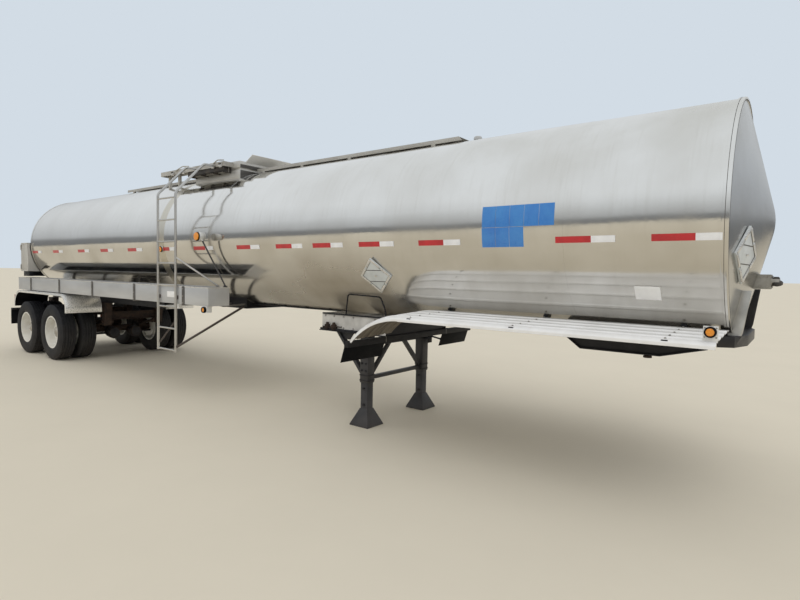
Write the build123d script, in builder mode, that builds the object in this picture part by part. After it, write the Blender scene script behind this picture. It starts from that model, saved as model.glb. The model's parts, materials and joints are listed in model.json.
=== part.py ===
from math import atan2, cos, radians, sin, sqrt, tan

from build123d import *

# Stainless steel insulated chemical tank semi-trailer, parked on its landing legs.
# Millimetres. +X points forward to the coupler, +Y to the trailer's left, +Z up.
# The origin is on the ground under the middle of the trailer's bounding box.
# "Set back" means a distance behind the front rim of the tank jacket.

# Tank
tank_radius = 950
tank_axis_z = 2168
jacket_length = 12280
nose_reach = 262            # front rim to the foremost point, the air coupling box
rear_reach = 430            # rear rim to the rearmost point, the cabinet door latches
band_width = 40
band_thickness = 8
cone_angle = 13.7           # degrees the front cone leans back from upright
cone_tip_radius = 110
head_edge = 14              # the heads are this much smaller in radius than the jacket
dish_radius = 2600
knuckle_radius = 100

# Running gear
overall_width = 2438
tyre_radius = 510
tyre_width = 279
tread_width = 222
bead_radius = 285
dual_spacing = 343
axle_spacing = 1245
bogie_set_back = 11200
axle_tube_radius = 63.5
hub_bore_clearance = 0.3
drum_radius = 208
rim_wall = 9
rim_flange_height = 13
hub_radius = 108
hand_holes = 5
hand_hole_radius = 30
hand_hole_circle = 212
hanger_y = 490
hanger_width = 120
spring_width = 76
spring_stack = 56

# Frame under the rear half
rail_y = 440
rail_bottom_z = 1060
rail_web = 8
rail_flange = 76
frame_front_set_back = 5780
frame_rear_set_back = 12600
rail_front_bottom_z = 1180  # the rails are shallower ahead of the step
rail_step_set_back = 7975

# Hose trays
tray_bottom_z = 1248
tray_height = 240
tray_width = 310
tray_wall = 4
tray_front_set_back = 5585
tray_length = 6695
tray_outer_inset = 44       # tray face inside the overall width, room for the ladder

# Rear fenders
rear_fender_top_z = 1232
rear_fender_end_z = 900
rear_fender_width = 600
rear_fender_front_set_back = 9860
rear_fender_rear_set_back = 12420
rear_fender_front_radius = 260
rear_fender_rear_radius = 320
fender_sheet = 4
fender_lip = 38

# Front fenders
front_fender_length = 2520
front_fender_curve = 800
front_fender_drop = 267
front_fender_lip_z = 1277
front_fender_deck_z = 1318
front_fender_inner_z = 1350
front_fender_inner_y = 520
rib_count = 4
rib_width = 44
rib_height = 9

# Upper coupler
coupler_plate_z = 1100
coupler_plate_thickness = 12
coupler_half_width = 480
coupler_front_set_back = 140
coupler_rear_set_back = 1220
coupler_ramp = 120
kingpin_set_back = 660
kingpin_radius = 25.4
kingpin_collar_radius = 36
kingpin_length = 84
kingpin_collar_depth = 16

# Landing gear
landing_set_back = 3465
landing_y = 530
leg_size = 116
leg_bottom_z = 480
ram_size = 98
foot_height = 190
foot_base = 270
foot_pad = 12
landing_frame_y = 600
landing_frame_bottom_z = 1040
landing_frame_top_z = 1240
landing_frame_front_set_back = 3150
landing_frame_rear_set_back = 4120

# Ladder
ladder_front_set_back = 6305
ladder_width = 454
rail_tube_radius = 17
rung_radius = 12
rung_pitch = 295
rung_count = 8
ladder_foot_z = 590
lowest_rung_z = 612
ladder_bend_z = 2745
ladder_bend_run = 420
ladder_top_drop = 53        # the rails reach the platform this far below its deck
ladder_bend_radius = 90

# Top of the tank
walkway_front_set_back = 2460
walkway_rear_set_back = 9720
walkway_width = 400
walkway_rise = 44           # rises are heights above the top of the jacket
walkway_depth = 44
walkway_wall = 4
dam_front_set_back = 5950
dam_length = 1100
dam_half_width = 450
dam_rise = 130
dam_wall = 5
dam_edge = 25               # the rim and foot of the dam stand out this far from its inside
dam_rim_height = 90
dam_foot_height = 120       # at the dam's sides, above the jacket
manhole_radius = 254
manhole_rise = 104
manhole_wall = 8
manhole_flange_reach = 26
manhole_flange_thickness = 18
lid_thickness = 14
platform_front_set_back = 6104
platform_rear_set_back = 7788
platform_width = 150
platform_rise = 116
platform_depth = 66
grab_radius = 8
platform_sheet = 4

# Placards: square blank holders stood on one corner
placard_size = 290
placard_thickness = 14
side_placard_set_back = 3110
side_placard_turn = 30.2    # degrees below the tank's widest line
cone_placard_y = 590
cone_placard_z = 1893

# Lamps
marker_radius = 37
marker_depth = 24
fender_lamp_set_back = 41
fender_lamp_z = 1396
tray_lamp_set_back = 5665
tray_lamp_z = 1202
mast_lamp_set_back = 5930
mast_lamp_y = 1120
mast_lamp_z = 2147
mast_lamp_radius = 52
mast_radius = 10
jacket_lamp_set_back = 7153
jacket_lamp_z = 2006
tail_lamp_radius = 52

# Rear outlet: three inch pipe and flange
outlet_z = 1370
outlet_pipe_radius = 44.5
outlet_bore_radius = 39
outlet_flange_radius = 95.2
outlet_flange_thickness = 24
outlet_bolt_circle = 152.4
outlet_bolt_hole_radius = 9.5

# Air system
reservoir_radius = 120
reservoir_length = 640
conduit_radius = 11

# Rear cabinet
cabinet_half_width = 1000
cabinet_bottom_z = 1610
cabinet_top_z = 2195
cabinet_wall = 4
cabinet_front_gap = 30
door_thickness = 22
door_gap = 6

# Worked-out places
overall_length = nose_reach + jacket_length + rear_reach
half_width = overall_width / 2
rim_x = overall_length / 2 - nose_reach
tail_x = rim_x - jacket_length
tank_mid_x = (rim_x + tail_x) / 2
tank_bottom_z = tank_axis_z - tank_radius
tank_top_z = tank_axis_z + tank_radius
bogie_x = rim_x - bogie_set_back
front_axle_x = bogie_x + axle_spacing / 2
rear_axle_x = bogie_x - axle_spacing / 2
outer_tyre_y = half_width - tyre_width / 2
inner_tyre_y = outer_tyre_y - dual_spacing
dual_mid_y = (outer_tyre_y + inner_tyre_y) / 2
landing_x = rim_x - landing_set_back
kingpin_x = rim_x - kingpin_set_back
frame_front_x = rim_x - frame_front_set_back
frame_rear_x = rim_x - frame_rear_set_back
tray_front_x = rim_x - tray_front_set_back
tray_rear_x = tray_front_x - tray_length
tray_outer_y = half_width - tray_outer_inset
tray_inner_y = tray_outer_y - tray_width
ladder_y = half_width - rail_tube_radius
walkway_top_z = tank_top_z + walkway_rise
dam_top_z = tank_top_z + dam_rise
manhole_top_z = tank_top_z + manhole_rise
platform_top_z = tank_top_z + platform_rise
ladder_top_z = platform_top_z - ladder_top_drop
left_right = (("left", 1), ("right", -1))


def clear_tank():
    """Cut the jacket's cylinder out of the part being built, so the part seats on it."""
    with Locations((tank_mid_x, 0, tank_axis_z)):
        Cylinder(tank_radius, jacket_length, rotation=(0, 90, 0), mode=Mode.SUBTRACT)


def clear_rear_dish():
    """Cut the rear head's dish out of the part being built, so the part seats on it."""
    with Locations((tail_x + dish_centre_back, 0, tank_axis_z)):
        Sphere(dish_radius, mode=Mode.SUBTRACT)


def box_between(x_range, y_range, z_range, mode=Mode.ADD):
    """Add a block from its lowest and highest coordinates."""
    centre = [(low + high) / 2 for low, high in (x_range, y_range, z_range)]
    size = [abs(high - low) for low, high in (x_range, y_range, z_range)]
    with Locations(tuple(centre)):
        Box(*size, mode=mode)


def bar_between(start, end, radius, mode=Mode.ADD):
    """Add a round bar whose axis runs from start to end."""
    start, end = Vector(*start), Vector(*end)
    with BuildSketch(Plane(origin=start, z_dir=end - start)) as profile:
        Circle(radius)
    extrude(profile.sketch, amount=(end - start).length, mode=mode)


def flat_between(start, end, width, depth, mode=Mode.ADD):
    """Add a rectangular bar from start to end, its width across the trailer's length."""
    start, end = Vector(*start), Vector(*end)
    across = (0, 1, 0) if abs((end - start).X) > abs((end - start).Y) else (1, 0, 0)
    with BuildSketch(Plane(origin=start, x_dir=across, z_dir=end - start)) as profile:
        Rectangle(width, depth)
    extrude(profile.sketch, amount=(end - start).length, mode=mode)


def write(part, name):
    """Label a finished piece and write its file."""
    part.label = name
    export_step(part, f"parts/{name}.step")


# Tank jacket: the polished outer cylinder
with BuildPart() as tank_jacket:
    with Locations((tank_mid_x, 0, tank_axis_z)):
        Cylinder(tank_radius, jacket_length, rotation=(0, 90, 0))
write(tank_jacket.part, "tank_jacket")

# Front head: a shallow cone with a blunt tip
tank_axis = Axis((0, 0, tank_axis_z), (1, 0, 0))
head_radius = tank_radius - head_edge
cone_turn = radians(cone_angle)
cone_length = (head_radius - cone_tip_radius) * tan(cone_turn)
tip_sphere = cone_tip_radius / sin(cone_turn)
tip_centre_x = rim_x + cone_length - tip_sphere * cos(cone_turn)
with BuildPart() as front_head:
    with BuildSketch(Plane.XZ):
        with BuildLine():
            Polyline(
                (tip_centre_x + tip_sphere, tank_axis_z),
                (rim_x, tank_axis_z),
                (rim_x, tank_axis_z + head_radius),
                (rim_x + cone_length, tank_axis_z + cone_tip_radius),
            )
            ThreePointArc(
                (rim_x + cone_length, tank_axis_z + cone_tip_radius),
                (
                    tip_centre_x + tip_sphere * cos(cone_turn / 2),
                    tank_axis_z + tip_sphere * sin(cone_turn / 2),
                ),
                (tip_centre_x + tip_sphere, tank_axis_z),
            )
        make_face()
    revolve(axis=tank_axis)
write(front_head.part, "front_head")

# Rear head: dished, with a small knuckle where it meets the jacket
knuckle_centre_r = head_radius - knuckle_radius
dish_centre_back = sqrt((dish_radius - knuckle_radius) ** 2 - knuckle_centre_r**2)
knuckle_turn = atan2(knuckle_centre_r, dish_centre_back)
rear_head_depth = dish_radius - dish_centre_back
tangent_x = tail_x - knuckle_radius * cos(knuckle_turn)
tangent_r = knuckle_centre_r + knuckle_radius * sin(knuckle_turn)
mid_turn = knuckle_turn / 2
with BuildPart() as rear_head:
    with BuildSketch(Plane.XZ):
        with BuildLine():
            Line((tail_x, tank_axis_z), (tail_x, tank_axis_z + head_radius))
            ThreePointArc(
                (tail_x, tank_axis_z + head_radius),
                (
                    tail_x - knuckle_radius * cos((knuckle_turn + radians(90)) / 2),
                    tank_axis_z + knuckle_centre_r + knuckle_radius * sin((knuckle_turn + radians(90)) / 2),
                ),
                (tangent_x, tank_axis_z + tangent_r),
            )
            ThreePointArc(
                (tangent_x, tank_axis_z + tangent_r),
                (
                    tail_x + dish_centre_back - dish_radius * cos(mid_turn),
                    tank_axis_z + dish_radius * sin(mid_turn),
                ),
                (tail_x - rear_head_depth, tank_axis_z),
            )
            Line((tail_x - rear_head_depth, tank_axis_z), (tail_x, tank_axis_z))
        make_face()
    revolve(axis=tank_axis)
write(rear_head.part, "rear_head")

# Rolled bands that close the jacket over each head
with BuildPart() as rim_bands:
    for edge_x, outward in ((rim_x, 1), (tail_x, -1)):
        with BuildSketch(Plane.XZ):
            with BuildLine():
                Polyline(
                    (edge_x - outward * band_width, tank_axis_z + tank_radius),
                    (edge_x, tank_axis_z + tank_radius),
                    (edge_x, tank_axis_z + head_radius),
                    (edge_x + outward * band_thickness, tank_axis_z + head_radius),
                    (edge_x + outward * band_thickness, tank_axis_z + tank_radius + band_thickness),
                    (edge_x - outward * band_width, tank_axis_z + tank_radius + band_thickness),
                    close=True,
                )
            make_face()
        revolve(axis=tank_axis)
write(rim_bands.part, "rim_bands")

# Top walkway: an inverted channel either side of the manhole, on stand-off brackets
dam_front_x = rim_x - dam_front_set_back
dam_rear_x = dam_front_x - dam_length
walkway_spans = (
    (rim_x - walkway_front_set_back, dam_front_x + 60),
    (dam_rear_x - 60, rim_x - walkway_rear_set_back),
)
walkway_bracket_set_backs = (2860, 4100, 4950, 5750, 7300, 8400, 9500)
walkway_bevel = 80
with BuildPart() as top_walkway:
    for front_x, rear_x in walkway_spans:
        low_z = walkway_top_z - walkway_depth
        half = walkway_width / 2
        box_between((rear_x, front_x), (-half, half), (low_z, walkway_top_z))
        inner = half - walkway_wall
        box_between(
            (rear_x, front_x), (-inner, inner), (low_z, walkway_top_z - walkway_wall), mode=Mode.SUBTRACT
        )
    for set_back in walkway_bracket_set_backs:
        bracket_x = rim_x - set_back
        for side in (1, -1):
            box_between(
                (bracket_x - 25, bracket_x + 25),
                (side * (half - 40), side * half),
                (tank_top_z - 60, walkway_top_z - walkway_wall),
            )
    with BuildSketch(Plane.XZ):
        with BuildLine():
            Polyline(
                (walkway_spans[0][0] - walkway_bevel, walkway_top_z),
                (walkway_spans[0][0], walkway_top_z),
                (walkway_spans[0][0], walkway_top_z - walkway_bevel),
                close=True,
            )
        make_face()
    extrude(amount=walkway_width, both=True, mode=Mode.SUBTRACT)
    clear_tank()
write(top_walkway.part, "top_walkway")

# Spill dam round the manhole: a folded rim, a thin wall and a foot along the jacket
dam_foot_z = tank_axis_z + sqrt(tank_radius**2 - dam_half_width**2) + dam_foot_height
with BuildPart() as spill_dam:
    box_between((dam_rear_x, dam_front_x), (-dam_half_width, dam_half_width), (tank_axis_z, dam_top_z))
    recess = dam_edge - dam_wall
    for outer, inner, mode in ((0, recess, Mode.SUBTRACT), (recess, dam_edge, Mode.ADD)):
        box_between(
            (dam_rear_x + outer, dam_front_x - outer),
            (-dam_half_width + outer, dam_half_width - outer),
            (dam_foot_z, dam_top_z - dam_rim_height),
            mode=mode,
        )
    box_between(
        (dam_rear_x + dam_edge, dam_front_x - dam_edge),
        (-dam_half_width + dam_edge, dam_half_width - dam_edge),
        (tank_axis_z, dam_top_z),
        mode=Mode.SUBTRACT,
    )
    clear_tank()
write(spill_dam.part, "spill_dam")

# Manhole neck, lid and hinge
manhole_x = (dam_front_x + dam_rear_x) / 2
with BuildPart() as manhole_neck:
    neck_height = manhole_rise + tank_radius / 10
    with Locations((manhole_x, 0, manhole_top_z - neck_height / 2)):
        Cylinder(manhole_radius, neck_height)
        Cylinder(manhole_radius - manhole_wall, neck_height, mode=Mode.SUBTRACT)
    with Locations((manhole_x, 0, manhole_top_z - manhole_flange_thickness / 2)):
        Cylinder(manhole_radius + manhole_flange_reach, manhole_flange_thickness)
        Cylinder(manhole_radius - manhole_wall, manhole_flange_thickness, mode=Mode.SUBTRACT)
    hinge_x = manhole_x - manhole_radius - 52
    for side in (1, -1):
        box_between(
            (hinge_x - 16, manhole_x - manhole_radius + 4),
            (side * 60, side * 76),
            (manhole_top_z - 40, manhole_top_z),
        )
        box_between(
            (hinge_x - 16, hinge_x + 16),
            (side * 60, side * 76),
            (manhole_top_z, manhole_top_z + 24),
        )
    bar_between((hinge_x, -76, manhole_top_z + 8), (hinge_x, 76, manhole_top_z + 8), 8)
    clear_tank()
write(manhole_neck.part, "manhole_neck")

with BuildPart() as manhole_lid:
    lid_base_z = manhole_top_z + 0.3
    with Locations((manhole_x, 0, lid_base_z + lid_thickness / 2)):
        Cylinder(manhole_radius + 24, lid_thickness)
    with Locations((manhole_x, 0, lid_base_z + lid_thickness + 9)):
        Cylinder(manhole_radius - 60, 18)
    box_between(
        (hinge_x, manhole_x - manhole_radius + 30),
        (-54, 54),
        (lid_base_z, lid_base_z + lid_thickness),
    )
    bar_between((hinge_x, -54, manhole_top_z + 8), (hinge_x, 54, manhole_top_z + 8), 15)
    bar_between((hinge_x, -54, manhole_top_z + 8), (hinge_x, 54, manhole_top_z + 8), 8.3, mode=Mode.SUBTRACT)
write(manhole_lid.part, "manhole_lid")

# Work platform beside the dam, where the ladder arrives
platform_outer_y = dam_half_width + platform_width
platform_rear_x = rim_x - platform_rear_set_back
platform_front_x = rim_x - platform_front_set_back
platform_under_z = platform_top_z - platform_sheet
stay_outer_y = dam_half_width + 46
# x and the height above the deck of each corner of the two grab hoops on the outer edge
grab_hoops = (
    ((-190, -34), (-20, 26), (120, 11)),
    ((-1120, -16), (-925, 32), (-760, 15)),
)
with BuildPart() as work_platform:
    box_between(
        (platform_rear_x, platform_front_x),
        (-platform_outer_y, -dam_half_width),
        (platform_top_z - platform_depth, platform_top_z),
    )
    box_between(
        (platform_rear_x + platform_sheet, platform_front_x - platform_sheet),
        (-platform_outer_y + platform_sheet, -dam_half_width - platform_sheet),
        (platform_top_z - platform_depth, platform_under_z),
        mode=Mode.SUBTRACT,
    )
    box_between(
        (dam_rear_x, platform_front_x - 40),
        (-stay_outer_y, -stay_outer_y + 6),
        (tank_axis_z, platform_under_z),
    )
    for leg_x in (platform_rear_x + 60, dam_rear_x - 400):
        box_between(
            (leg_x - 20, leg_x + 20),
            (-stay_outer_y, -stay_outer_y + 40),
            (tank_axis_z, platform_under_z),
        )
    for corners in grab_hoops:
        grab_y = -platform_outer_y - grab_radius + 2
        places = [Vector(x, grab_y, platform_top_z + height) for x, height in corners]
        with BuildLine() as grab_path:
            FilletPolyline(*places, radius=90)
        with BuildSketch(Plane(origin=places[0], z_dir=places[1] - places[0])):
            Circle(grab_radius)
        sweep(path=grab_path.wires()[0])
    clear_tank()
write(work_platform.part, "work_platform")

# Ladder on the right side
with BuildPart() as side_ladder:
    for rail_x in (rim_x - ladder_front_set_back, rim_x - ladder_front_set_back - ladder_width):
        with BuildLine() as rail_path:
            FilletPolyline(
                (rail_x, -ladder_y, ladder_foot_z),
                (rail_x, -ladder_y, ladder_bend_z),
                (rail_x, -ladder_y + ladder_bend_run, ladder_top_z),
                (rail_x, -platform_outer_y, ladder_top_z),
                radius=ladder_bend_radius,
            )
        with BuildSketch(Plane(origin=(rail_x, -ladder_y, ladder_foot_z), z_dir=(0, 0, 1))):
            Circle(rail_tube_radius)
        sweep(path=rail_path.wires()[0])
    for index in range(rung_count):
        rung_z = lowest_rung_z + index * rung_pitch
        bar_between(
            (rim_x - ladder_front_set_back, -ladder_y, rung_z),
            (rim_x - ladder_front_set_back - ladder_width, -ladder_y, rung_z),
            rung_radius,
        )
write(side_ladder.part, "side_ladder")

# Hose trays: open troughs with closed ends
hose_trays = []
for side_name, side in left_right:
    with BuildPart() as hose_tray:
        box_between(
            (tray_rear_x, tray_front_x),
            (side * tray_inner_y, side * tray_outer_y),
            (tray_bottom_z, tray_bottom_z + tray_height),
        )
        box_between(
            (tray_rear_x + tray_wall, tray_front_x - tray_wall),
            (side * (tray_inner_y + tray_wall), side * (tray_outer_y - tray_wall)),
            (tray_bottom_z + tray_wall, tray_bottom_z + tray_height),
            mode=Mode.SUBTRACT,
        )
    write(hose_tray.part, f"hose_tray_{side_name}")
    hose_trays.append(hose_tray.part)

# Outriggers that carry the trays, with a strap up each tray's face
tray_bracket_set_backs = (6160, 7494, 8905, 10245, 11612)
outrigger_thickness = tray_bottom_z - rear_fender_top_z
with BuildPart() as tray_brackets:
    for side in (1, -1):
        for set_back in tray_bracket_set_backs:
            bracket_x = rim_x - set_back
            box_between(
                (bracket_x - 40, bracket_x + 40),
                (side * (rail_y + rail_web), side * (tray_outer_y + 5)),
                (tray_bottom_z - outrigger_thickness, tray_bottom_z),
            )
            box_between(
                (bracket_x - 30, bracket_x + 30),
                (side * tray_outer_y, side * (tray_outer_y + 5)),
                (tray_bottom_z - outrigger_thickness, tray_bottom_z + tray_height),
            )
        with BuildSketch(Plane.XY.offset(tray_bottom_z - outrigger_thickness)):
            with BuildLine():
                Polyline(
                    (frame_front_x - 70, side * (rail_y + rail_web)),
                    (frame_front_x - 15, side * (rail_y + rail_web)),
                    (tray_front_x - 15, side * (tray_inner_y + 70)),
                    (tray_front_x - 70, side * (tray_inner_y + 70)),
                    close=True,
                )
            make_face()
        extrude(amount=outrigger_thickness)
write(tray_brackets.part, "tray_brackets")

# Frame under the rear half: rails welded up to the tank's belly, and channels between them
hanger_places = (bogie_x + axle_spacing, bogie_x, bogie_x - axle_spacing)
cross_member_places = (rim_x - 8700,) + hanger_places
rail_step_x = rim_x - rail_step_set_back
with BuildPart() as rear_frame:
    for side in (1, -1):
        box_between(
            (frame_rear_x, frame_front_x),
            (side * rail_y, side * (rail_y + rail_web)),
            (rail_bottom_z, tank_bottom_z + 240),
        )
        box_between(
            (frame_rear_x, frame_front_x),
            (side * (rail_y - rail_flange), side * (rail_y + rail_web)),
            (rail_bottom_z, rail_bottom_z + 10),
        )
        box_between(
            (frame_rear_x, tail_x - 60),
            (side * (rail_y - rail_flange), side * (rail_y + rail_web)),
            (rail_bottom_z + 150, tank_bottom_z + 240),
            mode=Mode.SUBTRACT,
        )
        for low_z, high_z, mode in (
            (rail_bottom_z, rail_front_bottom_z, Mode.SUBTRACT),
            (rail_front_bottom_z, rail_front_bottom_z + 10, Mode.ADD),
        ):
            box_between(
                (rail_step_x, frame_front_x),
                (side * (rail_y - rail_flange), side * (rail_y + rail_web)),
                (low_z, high_z),
                mode=mode,
            )
    for place_x in (frame_front_x - 60, rim_x - 7400):
        box_between(
            (place_x - 50, place_x + 50),
            (-rail_y, rail_y),
            (rail_front_bottom_z, rail_front_bottom_z + 8),
        )
        box_between(
            (place_x - 50, place_x - 42),
            (-rail_y, rail_y),
            (rail_front_bottom_z, tank_bottom_z + 90),
        )
    for place_x in cross_member_places:
        box_between(
            (place_x - 50, place_x + 50),
            (-rail_y, rail_y),
            (rail_bottom_z + 10, tank_bottom_z - 20),
        )
        box_between(
            (place_x - 42, place_x + 50),
            (-rail_y, rail_y),
            (rail_bottom_z + 18, tank_bottom_z - 28),
            mode=Mode.SUBTRACT,
        )
    clear_tank()
    add(rear_head.part, mode=Mode.SUBTRACT)
    add(rim_bands.part, mode=Mode.SUBTRACT)
write(rear_frame.part, "rear_frame")

# Suspension hangers below the rails, joined across by channels
hanger_bottom_z = 640
with BuildPart() as suspension_hangers:
    for place_x in hanger_places:
        for side in (1, -1):
            with BuildSketch(Plane.XZ.offset(-side * hanger_y)):
                with BuildLine():
                    Polyline(
                        (place_x - 110, rail_bottom_z),
                        (place_x + 110, rail_bottom_z),
                        (place_x + 60, hanger_bottom_z),
                        (place_x - 60, hanger_bottom_z),
                        close=True,
                    )
                make_face()
            extrude(amount=hanger_width / 2, both=True)
        box_between(
            (place_x - 30, place_x + 30),
            (-hanger_y, hanger_y),
            (740, 890),
        )
        box_between(
            (place_x - 22, place_x + 30),
            (-hanger_y + hanger_width / 2, hanger_y - hanger_width / 2),
            (750, 880),
            mode=Mode.SUBTRACT,
        )
write(suspension_hangers.part, "suspension_hangers")

# Leaf springs: arched stacks that sit on the axle seats
spring_low_z = tyre_radius + axle_tube_radius + 22
with BuildPart() as leaf_springs:
    span = axle_spacing / 2 - 60
    for axle_x in (front_axle_x, rear_axle_x):
        for side in (1, -1):
            with BuildSketch(Plane.XZ.offset(-side * hanger_y)):
                with BuildLine():
                    ThreePointArc(
                        (axle_x - span, spring_low_z + 70),
                        (axle_x, spring_low_z),
                        (axle_x + span, spring_low_z + 70),
                    )
                    Line((axle_x + span, spring_low_z + 70), (axle_x + span, spring_low_z + 92))
                    ThreePointArc(
                        (axle_x + span, spring_low_z + 92),
                        (axle_x, spring_low_z + spring_stack),
                        (axle_x - span, spring_low_z + 92),
                    )
                    Line((axle_x - span, spring_low_z + 92), (axle_x - span, spring_low_z + 70))
                make_face()
            extrude(amount=spring_width / 2, both=True)
    add(suspension_hangers.part, mode=Mode.SUBTRACT)
write(leaf_springs.part, "leaf_springs")

# Axles with spring seats and brake chambers
axles = []
for axle_name, axle_x in (("front", front_axle_x), ("rear", rear_axle_x)):
    with BuildPart() as axle:
        with Locations((axle_x, 0, tyre_radius)):
            Cylinder(axle_tube_radius, 2 * 700, rotation=(90, 0, 0))
        for side in (1, -1):
            box_between(
                (axle_x - 70, axle_x + 70),
                (side * (hanger_y - 50), side * (hanger_y + 50)),
                (tyre_radius, spring_low_z),
            )
            box_between(
                (axle_x + 40, axle_x + 120),
                (side * 160, side * 260),
                (tyre_radius - 100, tyre_radius + 30),
            )
            with Locations((axle_x + 220, side * 210, tyre_radius - 55)):
                Cylinder(98, 200, rotation=(0, 90, 0))
    write(axle.part, f"axle_{axle_name}")
    axles.append(axle.part)

# Wheels: tyres and the wheel and hub assembly of each twin
tyre_section = (
    # radius, half width of the section
    (bead_radius, tyre_width * 0.385),
    (bead_radius + rim_flange_height + 2, tyre_width * 0.385),
    (bead_radius + 50, tyre_width * 0.475),
    (bead_radius + 115, tyre_width * 0.5),
    (bead_radius + 172, tyre_width * 0.475),
    (tyre_radius - 12, tread_width / 2),
    (tyre_radius, tread_width * 0.30),
)
for axle_name, axle_x in (("front", front_axle_x), ("rear", rear_axle_x)):
    for side_name, side in left_right:
        spin_axis = Axis((axle_x, 0, tyre_radius), (0, 1, 0))
        with BuildPart() as tyres:
            for tyre_y in (outer_tyre_y, inner_tyre_y):
                centre_y = side * tyre_y
                outline = [(centre_y + half, tyre_radius + radius) for radius, half in tyre_section]
                outline += [(centre_y - half, tyre_radius + radius) for radius, half in reversed(tyre_section)]
                with BuildSketch(Plane(origin=(axle_x, 0, 0), x_dir=(0, 1, 0), z_dir=(1, 0, 0))):
                    with BuildLine():
                        Polyline(*outline, close=True)
                    make_face()
                revolve(axis=spin_axis)
        write(tyres.part, f"tyres_{axle_name}_{side_name}")

        with BuildPart() as wheels:
            section_plane = Plane(origin=(axle_x, 0, 0), x_dir=(0, 1, 0), z_dir=(1, 0, 0))
            flange_r = bead_radius + rim_flange_height
            bead_half = tyre_section[0][1]
            barrel_r = bead_radius - rim_wall
            for tyre_y, inboard in ((outer_tyre_y, -1), (inner_tyre_y, 1)):
                centre_y = side * tyre_y
                with BuildSketch(section_plane):
                    with BuildLine():
                        Polyline(
                            (centre_y - bead_half, tyre_radius + barrel_r),
                            (centre_y - bead_half, tyre_radius + bead_radius),
                            (centre_y + bead_half, tyre_radius + bead_radius),
                            (centre_y + bead_half, tyre_radius + barrel_r),
                            close=True,
                        )
                    make_face()
                revolve(axis=spin_axis)
                for edge in (1, -1):
                    flange_y = centre_y + edge * bead_half
                    with BuildSketch(section_plane):
                        with BuildLine():
                            Polyline(
                                (flange_y, tyre_radius + barrel_r),
                                (flange_y, tyre_radius + flange_r),
                                (flange_y + edge * 8, tyre_radius + flange_r),
                                (flange_y + edge * 8, tyre_radius + barrel_r),
                                close=True,
                            )
                        make_face()
                    revolve(axis=spin_axis)
                disc_y = side * (dual_mid_y - inboard * 11)
                foot_y = centre_y + side * inboard * bead_half * 0.3
                with BuildSketch(section_plane):
                    with BuildLine():
                        Polyline(
                            (disc_y - 7, tyre_radius + hub_radius - 6),
                            (disc_y + 7, tyre_radius + hub_radius - 6),
                            (disc_y + 7, tyre_radius + hub_radius + 62),
                            (foot_y + 7, tyre_radius + barrel_r + 2),
                            (foot_y - 7, tyre_radius + barrel_r + 2),
                            (disc_y - 7, tyre_radius + hub_radius + 62),
                            close=True,
                        )
                    make_face()
                revolve(axis=spin_axis)
            with Locations(Plane(origin=(axle_x, side * dual_mid_y, tyre_radius), z_dir=(0, 1, 0))):
                with PolarLocations(hand_hole_circle, hand_holes, start_angle=90):
                    Cylinder(hand_hole_radius, 2 * dual_spacing, mode=Mode.SUBTRACT)
            with Locations((axle_x, side * (dual_mid_y + 95), tyre_radius)):
                Cylinder(hub_radius, 210, rotation=(90, 0, 0))
            with Locations((axle_x, side * (dual_mid_y - 110), tyre_radius)):
                Cylinder(hub_radius + 34, 220, rotation=(90, 0, 0))
            with Locations((axle_x, side * 715, tyre_radius)):
                Cylinder(drum_radius, 190, rotation=(90, 0, 0))
            with Locations((axle_x, side * 660, tyre_radius)):
                Cylinder(axle_tube_radius + hub_bore_clearance, 100, rotation=(90, 0, 0), mode=Mode.SUBTRACT)
        write(wheels.part, f"wheels_{axle_name}_{side_name}")

# Rear fenders: one arch over both wheels of a side
fender_front_x = rim_x - rear_fender_front_set_back
fender_rear_x = rim_x - rear_fender_rear_set_back
rear_fenders = []
for side_name, side in left_right:
    with BuildPart() as rear_fender:
        for inset, inner_y, outer_y, mode in (
            (0, half_width - rear_fender_width, half_width, Mode.ADD),
            (fender_sheet, half_width - rear_fender_width, half_width - fender_sheet, Mode.SUBTRACT),
            (fender_lip, half_width - fender_sheet, half_width, Mode.SUBTRACT),
        ):
            front = fender_front_x - inset
            rear = fender_rear_x + inset
            top = rear_fender_top_z - inset
            front_r = rear_fender_front_radius - inset
            rear_r = rear_fender_rear_radius - inset
            with BuildSketch(Plane.XZ.offset(-side * (inner_y + outer_y) / 2)):
                with BuildLine():
                    Line((rear, rear_fender_end_z), (rear, top - rear_r))
                    RadiusArc((rear, top - rear_r), (rear + rear_r, top), rear_r)
                    Line((rear + rear_r, top), (front - front_r, top))
                    RadiusArc((front - front_r, top), (front, top - front_r), front_r)
                    Line((front, top - front_r), (front, rear_fender_end_z))
                    Line((front, rear_fender_end_z), (rear, rear_fender_end_z))
                make_face()
            extrude(amount=(outer_y - inner_y) / 2, both=True, mode=mode)
    write(rear_fender.part, f"rear_fender_{side_name}")
    rear_fenders.append(rear_fender.part)

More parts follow.
